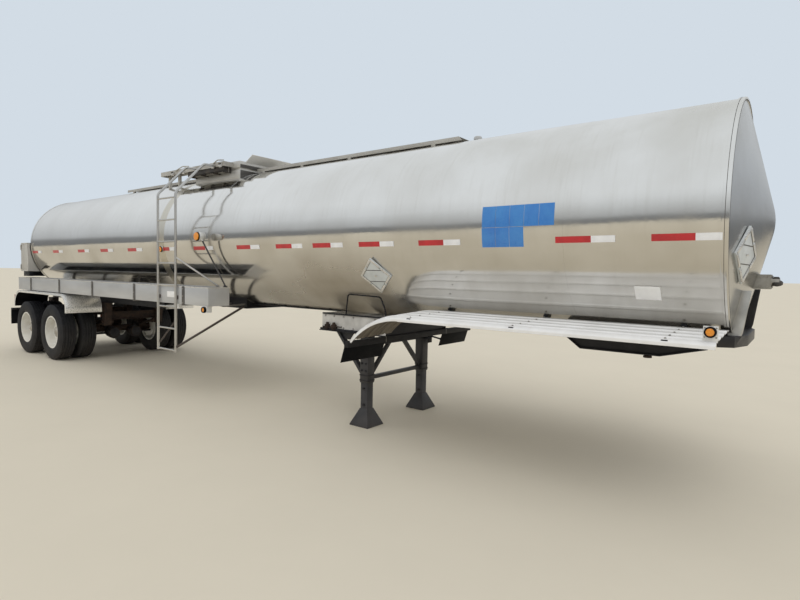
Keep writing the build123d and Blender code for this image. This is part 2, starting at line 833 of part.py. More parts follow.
# Front fenders: a ribbed deck that curves down behind
fender_start_x = rim_x - 4
fender_bend_x = rim_x - front_fender_length
tail_run = sqrt(2 * front_fender_curve * front_fender_drop - front_fender_drop**2)
drop_turn = 2 * atan2(front_fender_drop, tail_run)
deck_outer_y = half_width - 26
rib_pitch = (deck_outer_y - 40 - front_fender_inner_y) / rib_count
front_fenders = []
for side_name, side in left_right:
    deck_line = []
    for index in range(rib_count):
        rib_y = front_fender_inner_y + 40 + (index + 0.5) * rib_pitch
        for step_y, lift in ((-0.5, 0), (-0.3, 1), (0.3, 1), (0.5, 0)):
            y = rib_y + step_y * rib_width
            slope = (y - front_fender_inner_y) / (deck_outer_y - front_fender_inner_y)
            fall = slope * (front_fender_inner_z - front_fender_deck_z)
            deck_line.append((y, front_fender_inner_z - fall + lift * rib_height))
    upper = [(front_fender_inner_y, front_fender_inner_z)] + deck_line
    upper += [(deck_outer_y, front_fender_deck_z), (half_width, front_fender_deck_z - 20)]
    upper += [(half_width, front_fender_lip_z)]
    lower = [(half_width - fender_sheet, front_fender_lip_z)]
    lower += [(half_width - fender_sheet, front_fender_deck_z - 22)]
    lower += [(deck_outer_y - 2, front_fender_deck_z - fender_sheet)]
    lower += [(y, z - fender_sheet) for y, z in reversed(deck_line)]
    lower += [(front_fender_inner_y, front_fender_inner_z - fender_sheet)]
    outline = [(side * y, z) for y, z in upper + lower]
    with BuildPart() as front_fender:
        with BuildLine() as run:
            Line((fender_start_x, 0, front_fender_deck_z), (fender_bend_x, 0, front_fender_deck_z))
            ThreePointArc(
                (fender_bend_x, 0, front_fender_deck_z),
                (
                    fender_bend_x - front_fender_curve * sin(drop_turn / 2),
                    0,
                    front_fender_deck_z - front_fender_curve * (1 - cos(drop_turn / 2)),
                ),
                (
                    fender_bend_x - front_fender_curve * sin(drop_turn),
                    0,
                    front_fender_deck_z - front_fender_curve * (1 - cos(drop_turn)),
                ),
            )
        with BuildSketch(Plane(origin=(fender_start_x, 0, 0), x_dir=(0, 1, 0), z_dir=(1, 0, 0))):
            with BuildLine():
                Polyline(*outline, close=True)
            make_face()
        sweep(path=run.wires()[0])
    write(front_fender.part, f"front_fender_{side_name}")
    front_fenders.append(front_fender.part)

# Upper coupler: the bent plate, its frame and the kingpin
coupler_front_x = rim_x - coupler_front_set_back
coupler_rear_x = rim_x - coupler_rear_set_back
with BuildPart() as coupler_plate:
    plate_top = coupler_plate_z + coupler_plate_thickness
    with BuildSketch(Plane.XZ):
        with BuildLine():
            Polyline(
                (coupler_rear_x, coupler_plate_z + 90),
                (coupler_rear_x + coupler_ramp, coupler_plate_z),
                (coupler_front_x - 330, coupler_plate_z),
                (coupler_front_x, coupler_plate_z + 84),
                (coupler_front_x, coupler_plate_z + 84 + coupler_plate_thickness),
                (coupler_front_x - 330, plate_top),
                (coupler_rear_x + coupler_ramp, plate_top),
                (coupler_rear_x, coupler_plate_z + 90 + coupler_plate_thickness),
                close=True,
            )
        make_face()
    extrude(amount=coupler_half_width, both=True)
    with Locations((kingpin_x, 0, coupler_plate_z)):
        Cylinder(kingpin_collar_radius, 4 * coupler_plate_thickness, mode=Mode.SUBTRACT)
write(coupler_plate.part, "coupler_plate")

with BuildPart() as coupler_frame:
    for web_y in (-coupler_half_width + 20, -160, 160, coupler_half_width - 20):
        with BuildSketch(Plane.XZ.offset(-web_y)):
            with BuildLine():
                Polyline(
                    (coupler_rear_x, coupler_plate_z + 90 + coupler_plate_thickness),
                    (coupler_rear_x + coupler_ramp, plate_top),
                    (coupler_front_x - 330, plate_top),
                    (coupler_front_x, coupler_plate_z + 84 + coupler_plate_thickness),
                    (coupler_front_x, tank_bottom_z + 140),
                    (coupler_rear_x, tank_bottom_z + 140),
                    close=True,
                )
            make_face()
        extrude(amount=5, both=True)
    for cross_x in (coupler_rear_x + coupler_ramp + 10, kingpin_x - 200, kingpin_x + 200):
        box_between(
            (cross_x - 5, cross_x + 5),
            (-coupler_half_width + 20, coupler_half_width - 20),
            (plate_top, tank_bottom_z + 140),
        )
    clear_tank()
    add(coupler_plate.part, mode=Mode.SUBTRACT)
write(coupler_frame.part, "coupler_frame")

with BuildPart() as kingpin:
    with Locations((kingpin_x, 0, coupler_plate_z - kingpin_length / 2)):
        Cylinder(kingpin_radius, kingpin_length)
    with Locations((kingpin_x, 0, coupler_plate_z - kingpin_collar_depth)):
        Cylinder(
            kingpin_collar_radius,
            kingpin_collar_depth + coupler_plate_thickness,
            align=(Align.CENTER, Align.CENTER, Align.MIN),
        )
    with Locations((kingpin_x, 0, coupler_plate_z - kingpin_length + kingpin_collar_depth / 2)):
        Cylinder(kingpin_collar_radius, kingpin_collar_depth)
write(kingpin.part, "kingpin")

# Nose bolster below the front rim, with the two gussets that tie it to the cone
bolster_low_z = 1225
bolster_high_z = 1305
gusset_y = 450
gusset_top_z = 1640
with BuildPart() as nose_bolster:
    with BuildSketch(Plane.XY.offset(bolster_low_z)):
        with BuildLine():
            Polyline(
                (rim_x - 70, -600),
                (rim_x + 35, -540),
                (rim_x + 98, -320),
                (rim_x + 98, 320),
                (rim_x + 35, 540),
                (rim_x - 70, 600),
                close=True,
            )
        make_face()
    extrude(amount=bolster_high_z - bolster_low_z)
    for side in (1, -1):
        with BuildSketch(Plane.XZ.offset(-side * gusset_y)):
            with BuildLine():
                Polyline(
                    (rim_x - 20, bolster_high_z - 20),
                    (rim_x + 60, bolster_high_z - 20),
                    (rim_x + 76, bolster_high_z + 30),
                    (rim_x + 117, gusset_top_z),
                    (rim_x - 20, gusset_top_z),
                    close=True,
                )
            make_face()
        extrude(amount=4, both=True)
    clear_tank()
    add(front_head.part, mode=Mode.SUBTRACT)
    add(rim_bands.part, mode=Mode.SUBTRACT)
write(nose_bolster.part, "nose_bolster")

# Air coupling box on the front head
box_front_x = rim_x + 210
box_range_z = (1650, 1762)
with BuildPart() as coupling_box:
    box_between((rim_x + 90, box_front_x), (-110, 110), box_range_z)
    for hand_y in (-72, 0, 72):
        with Locations(((box_front_x + rim_x + nose_reach) / 2, hand_y, 1706)):
            Cylinder(26, rim_x + nose_reach - box_front_x, rotation=(0, 90, 0))
    add(front_head.part, mode=Mode.SUBTRACT)
write(coupling_box.part, "coupling_box")

# Landing gear frame: side plates, shelves and saddles under the belly
lg_front_x = rim_x - landing_frame_front_set_back
lg_rear_x = rim_x - landing_frame_rear_set_back
flap_beam_x = (lg_front_x - 32, lg_front_x + 8)
flap_beam_low_z = 970
flap_outer_y = half_width - 14
with BuildPart() as landing_frame:
    for side in (1, -1):
        box_between(
            (lg_rear_x, lg_front_x),
            (side * (landing_frame_y - 8), side * landing_frame_y),
            (landing_frame_bottom_z, landing_frame_top_z),
        )
        box_between(
            (lg_rear_x, lg_front_x),
            (side * (landing_frame_y - 60), side * (landing_frame_y + 50)),
            (landing_frame_bottom_z - 8, landing_frame_bottom_z),
        )
    for saddle_x in (lg_rear_x + 40, landing_x - 90, landing_x + 90, lg_front_x - 40):
        box_between(
            (saddle_x - 5, saddle_x + 5),
            (-landing_frame_y + 8, landing_frame_y - 8),
            (landing_frame_bottom_z, landing_frame_top_z),
        )
    clear_tank()
    box_between(flap_beam_x, (-flap_outer_y, flap_outer_y), (flap_beam_low_z, landing_frame_bottom_z - 8))
    for front_fender_part in front_fenders:
        add(front_fender_part, mode=Mode.SUBTRACT)
write(landing_frame.part, "landing_frame")

with BuildPart() as landing_legs:
    for side in (1, -1):
        with Locations((landing_x, side * landing_y, (leg_bottom_z + landing_frame_bottom_z - 8) / 2)):
            Box(leg_size, leg_size, landing_frame_bottom_z - 8 - leg_bottom_z)
write(landing_legs.part, "landing_legs")

with BuildPart() as landing_feet:
    for side in (1, -1):
        with Locations((landing_x, side * landing_y, (leg_bottom_z + foot_pad) / 2)):
            Box(ram_size, ram_size, leg_bottom_z - foot_pad)
        with Locations((landing_x, side * landing_y, foot_pad / 2)):
            Box(foot_base, foot_base, foot_pad)
        with BuildSketch(Plane.XY.offset(foot_pad)):
            with Locations((landing_x, side * landing_y)):
                Rectangle(foot_base, foot_base)
        with BuildSketch(Plane.XY.offset(foot_height)):
            with Locations((landing_x, side * landing_y)):
                Rectangle(ram_size + 10, ram_size + 10)
        loft()
write(landing_feet.part, "landing_feet")

brace_z = leg_bottom_z + 50
brace_top_x = lg_rear_x + 210
with BuildPart() as landing_braces:
    leg_face = landing_y - leg_size / 2
    flat_between((landing_x, -leg_face, brace_z), (landing_x, leg_face, brace_z), 50, 40)
    for side in (1, -1):
        flat_between(
            (landing_x, side * leg_face, brace_z + 30),
            (landing_x, side * 40, landing_frame_bottom_z - 30),
            40,
            40,
        )
        flat_between(
            (landing_x, side * landing_y, leg_bottom_z + 24),
            (brace_top_x, side * landing_y, landing_frame_bottom_z - 8),
            60,
            36,
        )
        with BuildSketch(Plane.XZ.offset(-side * landing_y)):
            with BuildLine():
                Polyline(
                    (brace_top_x - 16, landing_frame_bottom_z - 8),
                    (brace_top_x + 250, landing_frame_bottom_z - 8),
                    (brace_top_x + 180, landing_frame_bottom_z - 100),
                    (brace_top_x + 60, landing_frame_bottom_z - 100),
                    close=True,
                )
            make_face()
        extrude(amount=5, both=True)
    box_between(
        (landing_x - 95, landing_x + 95), (-110, 110), (landing_frame_bottom_z - 60, landing_frame_bottom_z)
    )
    add(landing_legs.part, mode=Mode.SUBTRACT)
    for side in (1, -1):
        box_between(
            (lg_rear_x, lg_front_x),
            (side * (landing_y - 40), side * (landing_y + 40)),
            (landing_frame_bottom_z - 8, landing_frame_top_z),
            mode=Mode.SUBTRACT,
        )
write(landing_braces.part, "landing_braces")

# Mud flaps behind the front fenders, which lean back, and behind the wheels
front_flap_bottom_z = 812
front_flap_lean = 50
with BuildPart() as mud_flaps:
    for side in (1, -1):
        with BuildSketch(Plane.XZ.offset(-side * (575 + flap_outer_y) / 2)):
            with BuildLine():
                Polyline(
                    (flap_beam_x[0], landing_frame_bottom_z - 8),
                    (flap_beam_x[0], flap_beam_low_z),
                    (flap_beam_x[0] - front_flap_lean, front_flap_bottom_z),
                    (flap_beam_x[0] - front_flap_lean - 8, front_flap_bottom_z),
                    (flap_beam_x[0] - 8, flap_beam_low_z),
                    (flap_beam_x[0] - 8, landing_frame_bottom_z - 8),
                    close=True,
                )
            make_face()
        extrude(amount=(flap_outer_y - 575) / 2, both=True)
        box_between((frame_rear_x - 10, frame_rear_x), (side * 610, side * half_width), (520, 850))
write(mud_flaps.part, "mud_flaps")

# Rear bumper bar on its posts, with the arms that hold the rear mud flaps
bumper_half_length = 950
bumper_rear_x = tail_x - rear_reach
with BuildPart() as rear_bumper:
    box_between((bumper_rear_x, frame_rear_x - 10), (-bumper_half_length, bumper_half_length), (460, 560))
    for side in (1, -1):
        box_between((frame_rear_x, frame_rear_x + 40), (side * (rail_y - 60), side * half_width), (810, 850))
        box_between(
            (frame_rear_x, frame_rear_x + 40),
            (side * (rail_y - 60), side * (rail_y + 8)),
            (460, rail_bottom_z),
        )
        box_between(
            (bumper_rear_x, frame_rear_x + 40),
            (side * (rail_y - 60), side * (rail_y + 8)),
            (480, 540),
        )
write(rear_bumper.part, "rear_bumper")

# Rear cabinet, hollow, with two doors on pin hinges at its outer edges
cabinet_front_x = tail_x - cabinet_front_gap
latch_reach = 18
cabinet_rear_x = tail_x - rear_reach + latch_reach + door_thickness + door_gap
hinge_axis_x = cabinet_rear_x - door_gap / 2
hinge_axis_y = cabinet_half_width + 13
hinge_heights = (cabinet_bottom_z + 90, cabinet_top_z - 90)
pin_radius = 5
with BuildPart() as rear_cabinet:
    box_between(
        (cabinet_rear_x, cabinet_front_x),
        (-cabinet_half_width, cabinet_half_width),
        (cabinet_bottom_z, cabinet_top_z),
    )
    box_between(
        (cabinet_rear_x, cabinet_front_x - cabinet_wall),
        (-cabinet_half_width + cabinet_wall, cabinet_half_width - cabinet_wall),
        (cabinet_bottom_z + cabinet_wall, cabinet_top_z - cabinet_wall),
        mode=Mode.SUBTRACT,
    )
    clear_rear_dish()
    for side in (1, -1):
        for hinge_z in hinge_heights:
            for end in (1, -1):
                ear_heights = (hinge_z + end * 46, hinge_z + end * 56)
                box_between(
                    (hinge_axis_x - 8, cabinet_rear_x + 30),
                    (side * (hinge_axis_y - 8), side * (hinge_axis_y + 8)),
                    ear_heights,
                )
                box_between(
                    (cabinet_rear_x, cabinet_rear_x + 30),
                    (side * cabinet_half_width, side * (hinge_axis_y - 8)),
                    ear_heights,
                )
            bar_between(
                (hinge_axis_x, side * hinge_axis_y, hinge_z - 56),
                (hinge_axis_x, side * hinge_axis_y, hinge_z + 56),
                pin_radius,
            )
write(rear_cabinet.part, "rear_cabinet")

door_front_x = cabinet_rear_x - door_gap
for side_name, side in left_right:
    with BuildPart() as cabinet_door:
        box_between(
            (door_front_x - door_thickness, door_front_x),
            (side * 4, side * cabinet_half_width),
            (cabinet_bottom_z, cabinet_top_z),
        )
        for hinge_z in hinge_heights:
            box_between(
                (door_front_x - door_thickness, door_front_x - 4),
                (side * (cabinet_half_width - 10), side * hinge_axis_y),
                (hinge_z - 40, hinge_z + 40),
            )
            sleeve = (
                (hinge_axis_x, side * hinge_axis_y, hinge_z - 40),
                (hinge_axis_x, side * hinge_axis_y, hinge_z + 40),
            )
            bar_between(*sleeve, pin_radius + 6)
            bar_between(*sleeve, pin_radius + 0.4, mode=Mode.SUBTRACT)
        box_between(
            (bumper_rear_x, door_front_x - door_thickness),
            (side * 60, side * 90),
            (cabinet_bottom_z + 200, cabinet_top_z - 200),
        )
    write(cabinet_door.part, f"cabinet_door_{side_name}")

# Beam and posts that carry the cabinet
support_top_z = cabinet_bottom_z
with BuildPart() as cabinet_supports:
    for side in (1, -1):
        box_between(
            (cabinet_rear_x + 20, cabinet_front_x - 20),
            (side * (rail_y - 60), side * (rail_y - 52)),
            (rail_bottom_z + 150, support_top_z),
        )
        box_between(
            (cabinet_rear_x + 20, cabinet_rear_x + 28),
            (side * (rail_y - 52), side * (rail_y - 12)),
            (rail_bottom_z + 150, support_top_z),
        )
    box_between(
        (cabinet_rear_x + 20, cabinet_rear_x + 100),
        (-cabinet_half_width + 30, cabinet_half_width - 30),
        (support_top_z - 100, support_top_z),
    )
    for side in (1, -1):
        box_between(
            (cabinet_rear_x + 20, cabinet_front_x - 20),
            (side * (cabinet_half_width - 110), side * (cabinet_half_width - 30)),
            (support_top_z - 100, support_top_z),
        )
    add(rear_head.part, mode=Mode.SUBTRACT)
    add(rim_bands.part, mode=Mode.SUBTRACT)
write(cabinet_supports.part, "cabinet_supports")

# Rear outlet: pipe out of the head, butterfly valve body and bolted flange
outlet_end_x = tail_x - 330
with BuildPart() as rear_outlet:
    with Locations((tail_x - 140, 0, outlet_z)):
        Cylinder(outlet_pipe_radius, 380, rotation=(0, 90, 0))
    with Locations((outlet_end_x + outlet_flange_thickness / 2, 0, outlet_z)):
        Cylinder(outlet_flange_radius, outlet_flange_thickness, rotation=(0, 90, 0))
    with Locations((outlet_end_x + 60, 0, outlet_z)):
        Cylinder(74, 46, rotation=(0, 90, 0))
    bar_between((outlet_end_x + 60, 0, outlet_z + 60), (outlet_end_x + 60, 0, outlet_z + 130), 14)
    with Locations((tail_x - 140, 0, outlet_z)):
        Cylinder(outlet_bore_radius, 400, rotation=(0, 90, 0), mode=Mode.SUBTRACT)
    with Locations(Plane(origin=(outlet_end_x, 0, outlet_z), z_dir=(-1, 0, 0))):
        with PolarLocations(outlet_bolt_circle / 2, 4, start_angle=45):
            Cylinder(outlet_bolt_hole_radius, 3 * outlet_flange_thickness, mode=Mode.SUBTRACT)
    clear_tank()
    add(rear_head.part, mode=Mode.SUBTRACT)
write(rear_outlet.part, "rear_outlet")

# Placard holders on both sides, on the front cone and on the rear head
with BuildPart() as placard_holders:
    side_turn = radians(side_placard_turn)
    for side in (1, -1):
        outward = Vector(0, side * cos(side_turn), -sin(side_turn))
        centre = Vector(rim_x - side_placard_set_back, 0, tank_axis_z) + outward * (tank_radius - 2)
        with BuildSketch(Plane(origin=centre, x_dir=(1, 0, 0), z_dir=outward)) as profile:
            Rectangle(placard_size, placard_size, rotation=45)
        extrude(profile.sketch, amount=placard_thickness)
    clear_tank()
    away = Vector(0, -cone_placard_y, cone_placard_z - tank_axis_z)
    from_axis = away.length
    cone_normal = Vector(cos(cone_turn), 0, 0) + away.normalized() * sin(cone_turn)
    centre = Vector(rim_x + (head_radius - from_axis) * tan(cone_turn), 0, tank_axis_z) + away
    with BuildSketch(Plane(origin=centre, x_dir=(0, 1, 0), z_dir=cone_normal)) as profile:
        Rectangle(placard_size, placard_size, rotation=45)
    extrude(profile.sketch, amount=placard_thickness)
    with BuildSketch(Plane(origin=(tail_x - 190, -560, 2560), x_dir=(0, -1, 0), z_dir=(-1, 0, 0))) as profile:
        Rectangle(placard_size, placard_size, rotation=45)
    extrude(profile.sketch, amount=-placard_thickness)
    box_between((tail_x - 185, tail_x - 60), (-580, -540), (2420, 2440))
    box_between((tail_x - 185, tail_x - 60), (-580, -540), (2680, 2700))
    add(front_head.part, mode=Mode.SUBTRACT)
    add(rear_head.part, mode=Mode.SUBTRACT)
write(placard_holders.part, "placard_holders")


def jacket_lamp_plane(side, lift):
    """Give the plane that faces out from the jacket where its own marker lamp sits."""
    outward = Vector(0, side * sqrt(tank_radius**2 - (jacket_lamp_z - tank_axis_z) ** 2) / tank_radius, 0)
    outward += Vector(0, 0, (jacket_lamp_z - tank_axis_z) / tank_radius)
    centre = Vector(rim_x - jacket_lamp_set_back, 0, tank_axis_z) + outward * (tank_radius + lift + 10)
    return Plane(origin=centre, x_dir=(1, 0, 0), z_dir=outward)


# Brackets of the side marker lamps, and the bases of the two lamps on the jacket
with BuildPart() as lamp_brackets:
    for side in (1, -1):
        lamp_x = rim_x - fender_lamp_set_back
        box_between(
            (lamp_x - 58, lamp_x + 58),
            (side * (half_width - 26 - marker_depth), side * (half_width - 20 - marker_depth)),
            (front_fender_deck_z - 3, fender_lamp_z + 54),
        )
        lamp_x = rim_x - tray_lamp_set_back
        box_between(
            (lamp_x - 70, lamp_x + 42),
            (side * (half_width - 120), side * (half_width - 20 - marker_depth)),
            (tray_lamp_z - 38, tray_bottom_z),
        )
        lamp_x = rim_x - mast_lamp_set_back
        foot_x, foot_y, foot_z = tray_front_x - 85, tray_inner_y + tray_wall / 2, tray_bottom_z + tray_height
        box_between(
            (foot_x - 25, foot_x + 25),
            (side * (foot_y - 14), side * (foot_y + 14)),
            (foot_z, foot_z + 20),
        )
        foot = (foot_x, side * foot_y, foot_z + 14)
        bar_between(foot, (lamp_x + 30, side * (mast_lamp_y - 40), mast_lamp_z - 20), mast_radius)
        housing = (tank_radius - 10, mast_lamp_y - 5)
        with Locations((lamp_x, side * sum(housing) / 2, mast_lamp_z)):
            Cylinder(mast_lamp_radius + 4, housing[1] - housing[0], rotation=(90, 0, 0))
        with Locations(jacket_lamp_plane(side, -10)):
            Cylinder(marker_radius + 8, 20)
    clear_tank()
    for hose_tray_part in hose_trays:
        add(hose_tray_part, mode=Mode.SUBTRACT)
    for front_fender_part in front_fenders:
        add(front_fender_part, mode=Mode.SUBTRACT)
    add(tray_brackets.part, mode=Mode.SUBTRACT)
write(lamp_brackets.part, "lamp_brackets")

# Amber marker lenses
with BuildPart() as side_lamps:
    for side in (1, -1):
        for set_back, lamp_z, face_y, lens_radius in (
            (fender_lamp_set_back, fender_lamp_z, half_width - 20 - marker_depth, marker_radius),
            (tray_lamp_set_back, tray_lamp_z, half_width - 20 - marker_depth, marker_radius),
            (mast_lamp_set_back, mast_lamp_z, mast_lamp_y - 5, mast_lamp_radius),
        ):
            with Locations((rim_x - set_back, side * (face_y + marker_depth / 2), lamp_z)):
                Cylinder(lens_radius, marker_depth, rotation=(90, 0, 0))
        with Locations(jacket_lamp_plane(side, 10)):
            Cylinder(marker_radius, 20)
write(side_lamps.part, "side_lamps")

# Red lamps across the back and at the rear corners of the wheel fenders
with BuildPart() as rear_lamps:
    for side in (1, -1):
        for lamp_y in (620, 750, 880):
            with Locations((bumper_rear_x + 20, side * lamp_y, 616)):
                Cylinder(tail_lamp_radius, 40, rotation=(0, 90, 0))
        box_between(
            (bumper_rear_x + 40, bumper_rear_x + 46),
            (side * 550, side * 950),
            (560, 672),
        )
        box_between(
            (fender_rear_x - 40, fender_rear_x + 60),
            (side * (half_width - 90), side * (half_width - 20)),
            (1040, 1130),
        )
    for rear_fender_part in rear_fenders:
        add(rear_fender_part, mode=Mode.SUBTRACT)
    for side in (1, -1):
        box_between(
            (fender_rear_x + fender_sheet, fender_rear_x + 90),
            (side * (half_width - 100), side * (half_width - fender_sheet)),
            (1030, 1100),
            mode=Mode.SUBTRACT,
        )
write(rear_lamps.part, "rear_lamps")

# Air reservoirs across the frame behind the rear axle
reservoir_x = rear_axle_x - 330
reservoir_z = rail_bottom_z - reservoir_radius - 12
with BuildPart() as air_reservoirs:
    with Locations((reservoir_x, 0, reservoir_z)):
        Cylinder(reservoir_radius, reservoir_length, rotation=(90, 0, 0))
    for side in (1, -1):
        box_between(
            (reservoir_x - 25, reservoir_x + 25),
            (side * 200, side * 240),
            (reservoir_z, rail_bottom_z + 60),
        )
        box_between(
            (reservoir_x - 25, reservoir_x + 25),
            (side * 200, side * (rail_y - rail_flange + 30)),
            (rail_bottom_z - 8, rail_bottom_z),
        )
write(air_reservoirs.part, "air_reservoirs")

# Air line and wiring conduit along the belly, with its clips
conduit_y = -260
conduit_z = tank_axis_z - sqrt(tank_radius**2 - conduit_y**2) - conduit_radius - 4
with BuildPart() as belly_conduit:
    for line_y in (conduit_y, conduit_y + 34):
        bar_between(
            (lg_rear_x + 20, line_y, conduit_z),
            (frame_front_x - 120, line_y, conduit_z),
            conduit_radius,
        )
    for clip in range(4):
        clip_x = lg_rear_x - 200 - clip * 430
        box_between(
            (clip_x - 15, clip_x + 15),
            (conduit_y - 20, conduit_y + 54),
            (conduit_z - 4, conduit_z + 60),
        )
    clear_tank()
    add(landing_frame.part, mode=Mode.SUBTRACT)
    add(rear_frame.part, mode=Mode.SUBTRACT)
write(belly_conduit.part, "belly_conduit")

# Arms that carry the front fenders out from the coupler and belly
arm_root_y = coupler_half_width - 15
with BuildPart() as fender_arms:
    for side in (1, -1):
        for set_back in (300, 1400, 2400):
            arm_x = rim_x - set_back
            with BuildSketch(Plane.YZ.offset(arm_x - 20)) as profile:
                with BuildLine():
                    Polyline(
                        (side * arm_root_y, front_fender_inner_z - 60),
                        (side * arm_root_y, front_fender_inner_z + 40),
                        (side * front_fender_inner_y, front_fender_inner_z + 20),
                        (side * (half_width - 8), front_fender_deck_z + 20),
                        (side * (half_width - 8), front_fender_deck_z - 34),
                    )
                    Line(
                        (side * (half_width - 8), front_fender_deck_z - 34),
                        (side * arm_root_y, front_fender_inner_z - 60),
                    )
                make_face()
            extrude(profile.sketch, amount=40)
    clear_tank()
    for fender in front_fenders:
        add(fender, mode=Mode.SUBTRACT)
    for side in (1, -1):
        box_between(
            (rim_x - 2600, rim_x),
            (side * (front_fender_inner_y - 1), side * half_width),
            (front_fender_deck_z - fender_sheet - 1, front_fender_inner_z + 60),
            mode=Mode.SUBTRACT,
        )
write(fender_arms.part, "fender_arms")

# Gearbox, cross shaft and folded crank of the landing gear
gear_z = landing_frame_bottom_z - 130
gear_x = landing_x + leg_size / 2 - 18
crank_reach = 180
with BuildPart() as landing_gearbox:
    leg_face = landing_y - leg_size / 2
    bar_between((gear_x, -leg_face, gear_z), (gear_x, leg_face, gear_z), 14)
    outer_face = landing_y + leg_size / 2
    box_between((landing_x - 60, landing_x + 60), (outer_face, outer_face + 85), (gear_z - 80, gear_z + 80))
    bar_between((landing_x, outer_face + 80, gear_z), (landing_x, outer_face + 130, gear_z), 16)
    bar_between(
        (landing_x, outer_face + 116, gear_z),
        (landing_x + crank_reach, outer_face + 116, gear_z - 30),
        11,
    )
    bar_between(
        (landing_x + crank_reach - 8, outer_face + 108, gear_z - 29),
        (landing_x + crank_reach - 8, outer_face + 250, gear_z - 29),
        13,
    )
write(landing_gearbox.part, "landing_gearbox")

# Struts that hold the ladder off the tray and the frame, and the diagonal between its rails
ladder_rail_x = rim_x - ladder_front_set_back
strut_foot = (384, tray_inner_y + tray_wall / 2)
diagonal_y = -ladder_y + rung_radius + 10
with BuildPart() as ladder_struts:
    bar_between(
        (ladder_rail_x + 16, -ladder_y, 1866),
        (strut_foot[0], -strut_foot[1], tray_bottom_z + tray_height + 14),
        12,
    )
    box_between(
        (strut_foot[0] - 25, strut_foot[0] + 25),
        (-strut_foot[1] - 14, -strut_foot[1] + 14),
        (tray_bottom_z + tray_height, tray_bottom_z + tray_height + 22),
    )
    bar_between((ladder_rail_x + 14, -ladder_y, 660), (frame_front_x - 60, -rail_y, 1212), 16)
    box_between(
        (frame_front_x - 700, frame_front_x),
        (-rail_y - rail_web, 0),
        (1000, 1300),
        mode=Mode.SUBTRACT,
    )
    bar_between(
        (ladder_rail_x - ladder_width + 6, diagonal_y, 690),
        (ladder_rail_x - 6, diagonal_y, 1041),
        11,
    )
    for strut_x in (ladder_rail_x, ladder_rail_x - ladder_width):
        box_between(
            (strut_x - 20, strut_x + 20),
            (-tray_outer_y - 12, -tray_outer_y),
            (tray_bottom_z + 60, tray_bottom_z + 120),
        )
    add(side_ladder.part, mode=Mode.SUBTRACT)
    add(hose_trays[1], mode=Mode.SUBTRACT)
    add(tray_brackets.part, mode=Mode.SUBTRACT)
    add(rear_frame.part, mode=Mode.SUBTRACT)
write(ladder_struts.part, "ladder_struts")

# Radius rods from the hangers to the axles
with BuildPart() as radius_rods:
    for place_x, axle_x in ((hanger_places[0], front_axle_x), (hanger_places[1], rear_axle_x)):
        for side in (1, -1):
            rod_y = side * (hanger_y - hanger_width / 2 - 26)
            bar_between((place_x - 10, rod_y, 700), (axle_x + 50, rod_y, tyre_radius + 60), 19)
            bar_between(
                (place_x, side * (hanger_y - hanger_width / 2), 700),
                (place_x, rod_y - side * 24, 700),
                34,
            )
            box_between(
                (axle_x + 20, axle_x + 80),
                (rod_y - side * 24, side * (hanger_y - 50)),
                (tyre_radius + 20, tyre_radius + 90),
            )
    for axle in axles:
        add(axle, mode=Mode.SUBTRACT)
write(radius_rods.part, "radius_rods")

# Raised flaps over the dam's ends, the rear one on two gussets
flap_half_width = 350
rear_flap_low_x = dam_rear_x - 180
with BuildPart() as dam_flap:
    with BuildSketch(Plane.XZ):
        with BuildLine():
            Polyline(
                (dam_front_x, dam_top_z - 10),
                (dam_front_x, dam_top_z),
                (dam_front_x + 150, dam_top_z + 84),
                (dam_front_x + 150, dam_top_z + 80),
                close=True,
            )
        make_face()
        with BuildLine():
            Polyline(
                (rear_flap_low_x, dam_top_z - 34),
                (rear_flap_low_x, dam_top_z - 30),
                (dam_rear_x, dam_top_z + 75),
                (dam_rear_x, dam_top_z + 71),
                close=True,
            )
        make_face()
    extrude(amount=flap_half_width, both=True)
    for side in (1, -1):
        with BuildSketch(Plane.XZ.offset(-side * (flap_half_width - 40))):
            with BuildLine():
                Polyline(
                    (dam_rear_x, dam_top_z - 80),
                    (rear_flap_low_x, dam_top_z - 34),
                    (dam_rear_x, dam_top_z + 71),
                    close=True,
                )
            make_face()
        extrude(amount=3, both=True)
write(dam_flap.part, "dam_flap")
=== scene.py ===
"""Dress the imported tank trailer: polished tank, running gear, trays, ladder and fittings.

Every length is in metres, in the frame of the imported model: +X forward, +Y left, +Z up.
"""

import json
import logging
from contextlib import contextmanager
from dataclasses import dataclass, field
from enum import Enum
from math import asin, atan2, cos, pi, radians, sin, sqrt, tan
from typing import Callable, Iterable, Iterator, Optional, Sequence

import bpy
from mathutils import Matrix, Vector

